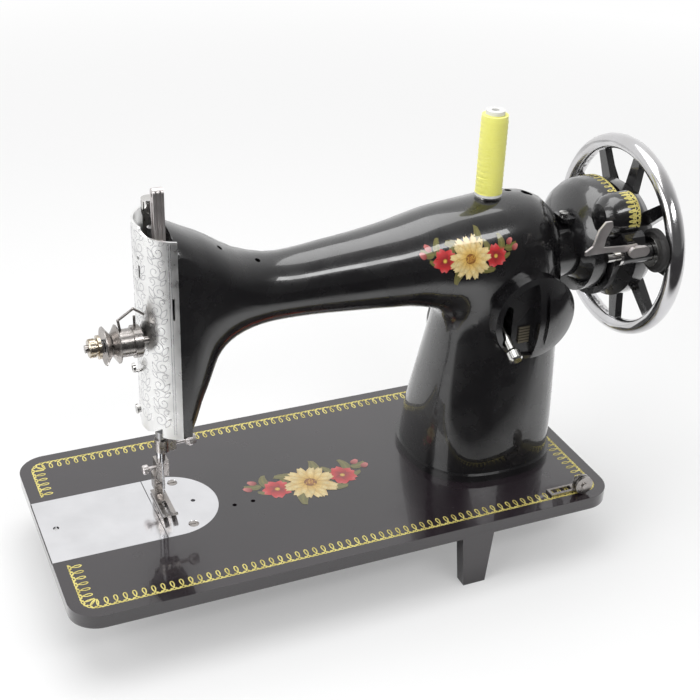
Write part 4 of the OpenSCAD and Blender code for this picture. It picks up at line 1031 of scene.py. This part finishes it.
transfer = new_finish("flower transfer", (0.5, 0.3, 0.1), roughness=0.35, coat_weight=1.0,
                      coat_roughness=0.04)
paint = put(transfer, "Attribute", attribute_name="tint").outputs["Color"]
speck = spread(transfer, grain(transfer, 1400, 3), 0.0, 0.28)
feed(transfer, "Base Color", blend(transfer, speck, paint, (0.10, 0.05, 0.02)))
feed(transfer, "Roughness", spread(transfer, grain(transfer, 300, 4), 0.3, 0.45))


def lay_spray(name, spray):
    """Makes a piece of a spray, with a colour on every point."""
    o = piece(name, spray.points, spray.faces, transfer)
    colors = o.data.color_attributes.new("tint", "FLOAT_COLOR", "POINT")
    for i, c in enumerate(spray.colors):
        colors.data[i].color = (*c, 1)


bed_spray = Spray(lambda u, v, lift: at(BED_SPRAY[0] + u, BED_SPRAY[1] + v, 0) + UP * lift)
garland(bed_spray, 36, 22, 19)
lay_spray("bed_flowers", bed_spray)

# %% [markdown]
# A smaller one lies on the arm's front, which is curved both ways. Rays shot from the
# operator's side find the enamel, as they did on the face plate.

# %% The arm's spray
ARM_SPRAY, OPERATOR_Y, ARM_SKIN_Y = (277.0, 163.0), -120, -30

arm_front = surface_of("arm")


def on_arm(u, v, lift):
    """A point of the drawing on the arm's front."""
    x, z = ARM_SPRAY[0] + u, ARM_SPRAY[1] + v
    found = probe(arm_front, at(x, OPERATOR_Y, z), Vector((0, 1, 0)))
    point, normal = found or (at(x, ARM_SKIN_Y, z), Vector((0, -1, 0)))
    return point + normal * lift


arm_spray = Spray(on_arm)
garland(arm_spray, 26, 14, 14)
lay_spray("arm_flowers", arm_spray)

# %% [markdown]
# ## The thread
#
# The thread is bright lime cotton on a pale tube, which shows at both ends of the cone.
# Cotton is dull with a soft sheen, and the twist of its strands is a fine slanting wave.
# The solid cone gets the finish too, because it shows between the strands.

# %% Lime thread
TUBE_SHOWS, TUBE_EDGE = (193.1, 245.2), 0.1

yarn = new_finish("lime thread", (0.92, 0.90, 0.24), roughness=0.7, sheen_weight=0.5)
twist = put(yarn, "TexWave", {"Vector": place(yarn), "Scale": 900, "Distortion": 1.5,
                              "Detail": 2}, bands_direction="DIAGONAL").outputs["Fac"]
yarn_height = along(yarn, "Z")
above = spread(yarn, yarn_height, 0, 1, start=at(0, 0, TUBE_SHOWS[1]).z,
               end=at(0, 0, TUBE_SHOWS[1] + TUBE_EDGE).z)
below = spread(yarn, yarn_height, 1, 0, start=at(0, 0, TUBE_SHOWS[0] - TUBE_EDGE).z,
               end=at(0, 0, TUBE_SHOWS[0]).z)
tube = combine(yarn, "MAXIMUM", above, below)
lime = blend(yarn, spread(yarn, twist, 0, 1), (0.95, 0.93, 0.28), (0.78, 0.76, 0.12))
feed(yarn, "Base Color", blend(yarn, tube, lime, (0.72, 0.72, 0.70)))
feed(yarn, "Roughness", spread(yarn, grain(yarn, 900, 3), 0.6, 0.85))
bumps(yarn, (twist, 0.00006), (grain(yarn, 2500, 3), 0.00004))
dress(yarn, "thread_spool")

# %% [markdown]
# Thread is wound on its tube in crossing layers: the guide runs up and down while the
# tube turns. One curve does the same here. It climbs and falls at a steady pitch, with a
# small wander, so neighbouring strands cross at a shallow angle as they do on a real cone.

# %% Thread cone
SPOOL_X, SPOOL_BOTTOM, SPOOL_TOP, SPOOL_R = 304.0, 193.4, 244.6, 8.5
STRAND, WANDER = 0.00021, 0.16
PASSES, TURNS, POINTS_PER_TURN, SHIFT = 24, 13.0, 22, 0.618
SHOULDER, SHOULDER_HEIGHT, SHOULDER_DROP = 0.94, 0.06, 0.5

winding = []
for i in range(PASSES):
    for k in range(int(TURNS * POINTS_PER_TURN)):
        t = k / (TURNS * POINTS_PER_TURN)
        up = t if i % 2 == 0 else 1 - t
        angle = math.tau * (i * (TURNS + SHIFT) + TURNS * t)
        drop = SHOULDER_DROP * max(0, up - SHOULDER) / SHOULDER_HEIGHT
        r = SPOOL_R + WANDER * math.sin(i * 2.4 + 9 * t) - drop
        z = SPOOL_BOTTOM + (SPOOL_TOP - SPOOL_BOTTOM) * up
        winding.append(at(SPOOL_X + r * math.cos(angle), r * math.sin(angle), z))
strand = bpy.data.curves.new("thread_winding", "CURVE")
strand.dimensions = "3D"
line = strand.splines.new("POLY")
line.points.add(len(winding) - 1)
for p, co in zip(line.points, winding):
    p.co = (*co, 1)
strand.bevel_depth = STRAND
strand.bevel_resolution = 1
wound = bpy.data.objects.new("thread_winding", strand)
bpy.context.scene.collection.objects.link(wound)
strand.materials.append(yarn)
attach(wound, "thread_spool")
print("thread:", len(winding), "points")

# %% [markdown]
# ## Room, light and camera
#
# The machine stands on a white table in front of a white sweep. Black varnish shows what
# it mirrors, so the room matters as much as the lamps. Away from the machine the table
# glows to a plain white for the camera, so that it has no edge. In the varnish its near
# end goes dark, or the bed's front would be as pale as the table.

# %% Table
NEAR_GLOW, PALE_FROM, PALE_TO = 0.3, 0.5, 1.5
GLOOM_FROM, GLOOM_TO = -0.30, -0.20

bpy.ops.mesh.primitive_plane_add(size=6, location=(0, 0, 0))
table = bpy.context.object
table.name = "table"
white = new_finish("white table", (0.80, 0.80, 0.80), roughness=0.6)
rays = put(white, "LightPath")
glow = put(white, "Emission", {"Color": (1, 1, 1, 1), "Strength": 1.0})
away = put(white, "VectorMath", {0: place(white)}, operation="LENGTH").outputs["Value"]
paling = spread(white, away, NEAR_GLOW, 1, start=PALE_FROM, end=PALE_TO)
to_camera = combine(white, "MULTIPLY", rays.outputs["Is Camera Ray"], paling)
soft = put(white, "MixShader", {0: to_camera, 1: principled(white).outputs[0], 2: glow.outputs[0]})
near_end = spread(white, along(white, "Y"), 1, 0, start=GLOOM_FROM, end=GLOOM_TO)
in_varnish = combine(white, "MULTIPLY", rays.outputs["Is Glossy Ray"], near_end)
gloom = put(white, "Emission", {"Color": (0.05, 0.048, 0.05, 1), "Strength": 1.0})
top = put(white, "MixShader", {0: in_varnish, 1: soft.outputs[0], 2: gloom.outputs[0]})
white.node_tree.links.new(top.outputs[0], white.node_tree.nodes["Material Output"].inputs[0])
table.data.materials.append(white)
print("table", round(table.dimensions.x, 1), "m wide")

# %% [markdown]
# The room is only a brightness round the machine: pale behind it and darker towards the
# viewer, so that the enamel stays black where it faces the room's near end. The camera
# itself sees plain white.

# %% Room
DARK, PALE, DARK_END, PALE_END = 0.10, 0.95, -0.75, 0.35

world = bpy.data.worlds.new("studio")
bpy.context.scene.world = world
world.use_nodes = True
background = world.node_tree.nodes["Background"]
direction = put(world, "TexCoord").outputs["Generated"]
backwards = put(world, "SeparateXYZ", {0: direction}).outputs["Y"]
brightness = spread(world, backwards, DARK, PALE, start=DARK_END, end=PALE_END)
camera_ray = put(world, "LightPath").outputs["Is Camera Ray"]
shown = put(world, "Mix", {0: camera_ray, 2: brightness, 3: 1.0}).outputs[0]
world.node_tree.links.new(shown, background.inputs["Strength"])
background.inputs["Color"].default_value = (1, 1, 1, 1)
print("room from", DARK, "to", PALE)

# %% [markdown]
# Three soft boxes do the rest: a large one overhead, one at the left that lights the face
# plate, and a long narrow one in front that draws the streak along the arm.

# %% Lamps
def soft_box(name, where, aim, wide, tall, power):
    """A rectangular lamp that looks at a point; power is in watts."""
    light = bpy.data.lights.new(name, "AREA")
    light.shape, light.size, light.size_y, light.energy = "RECTANGLE", wide, tall, power
    o = bpy.data.objects.new(name, light)
    o.location = where
    o.rotation_euler = (Vector(aim) - Vector(where)).to_track_quat("-Z", "Y").to_euler()
    bpy.context.scene.collection.objects.link(o)
    print(name, power, "W")


soft_box("overhead", (-0.1, 0.2, 1.5), (0, 0, 0.1), 1.4, 0.9, 12)
soft_box("window_left", (-1.3, -0.5, 0.9), (0, 0, 0.1), 0.9, 0.9, 9)
soft_box("streak", (0.3, -1.0, 1.1), (0, 0, 0.15), 0.8, 0.25, 5)

# %% [markdown]
# The camera stands to the left of the operator's seat, a little over half a metre above
# the table, with a moderate telephoto lens. The Standard view shows colours as written.

# %% Camera
lens = bpy.data.cameras.new("camera")
lens.lens, lens.sensor_width = 67.13, 36.0
camera = bpy.data.objects.new("camera", lens)
camera.location = (-0.31284, -0.68075, 0.55890)
camera.rotation_euler = [math.radians(a) for a in (60.87567, -1.94487, -23.30999)]
bpy.context.scene.collection.objects.link(camera)
bpy.context.scene.camera = camera
bpy.context.scene.view_settings.view_transform = "Standard"
print("camera", round(camera.location.length, 2), "m away")
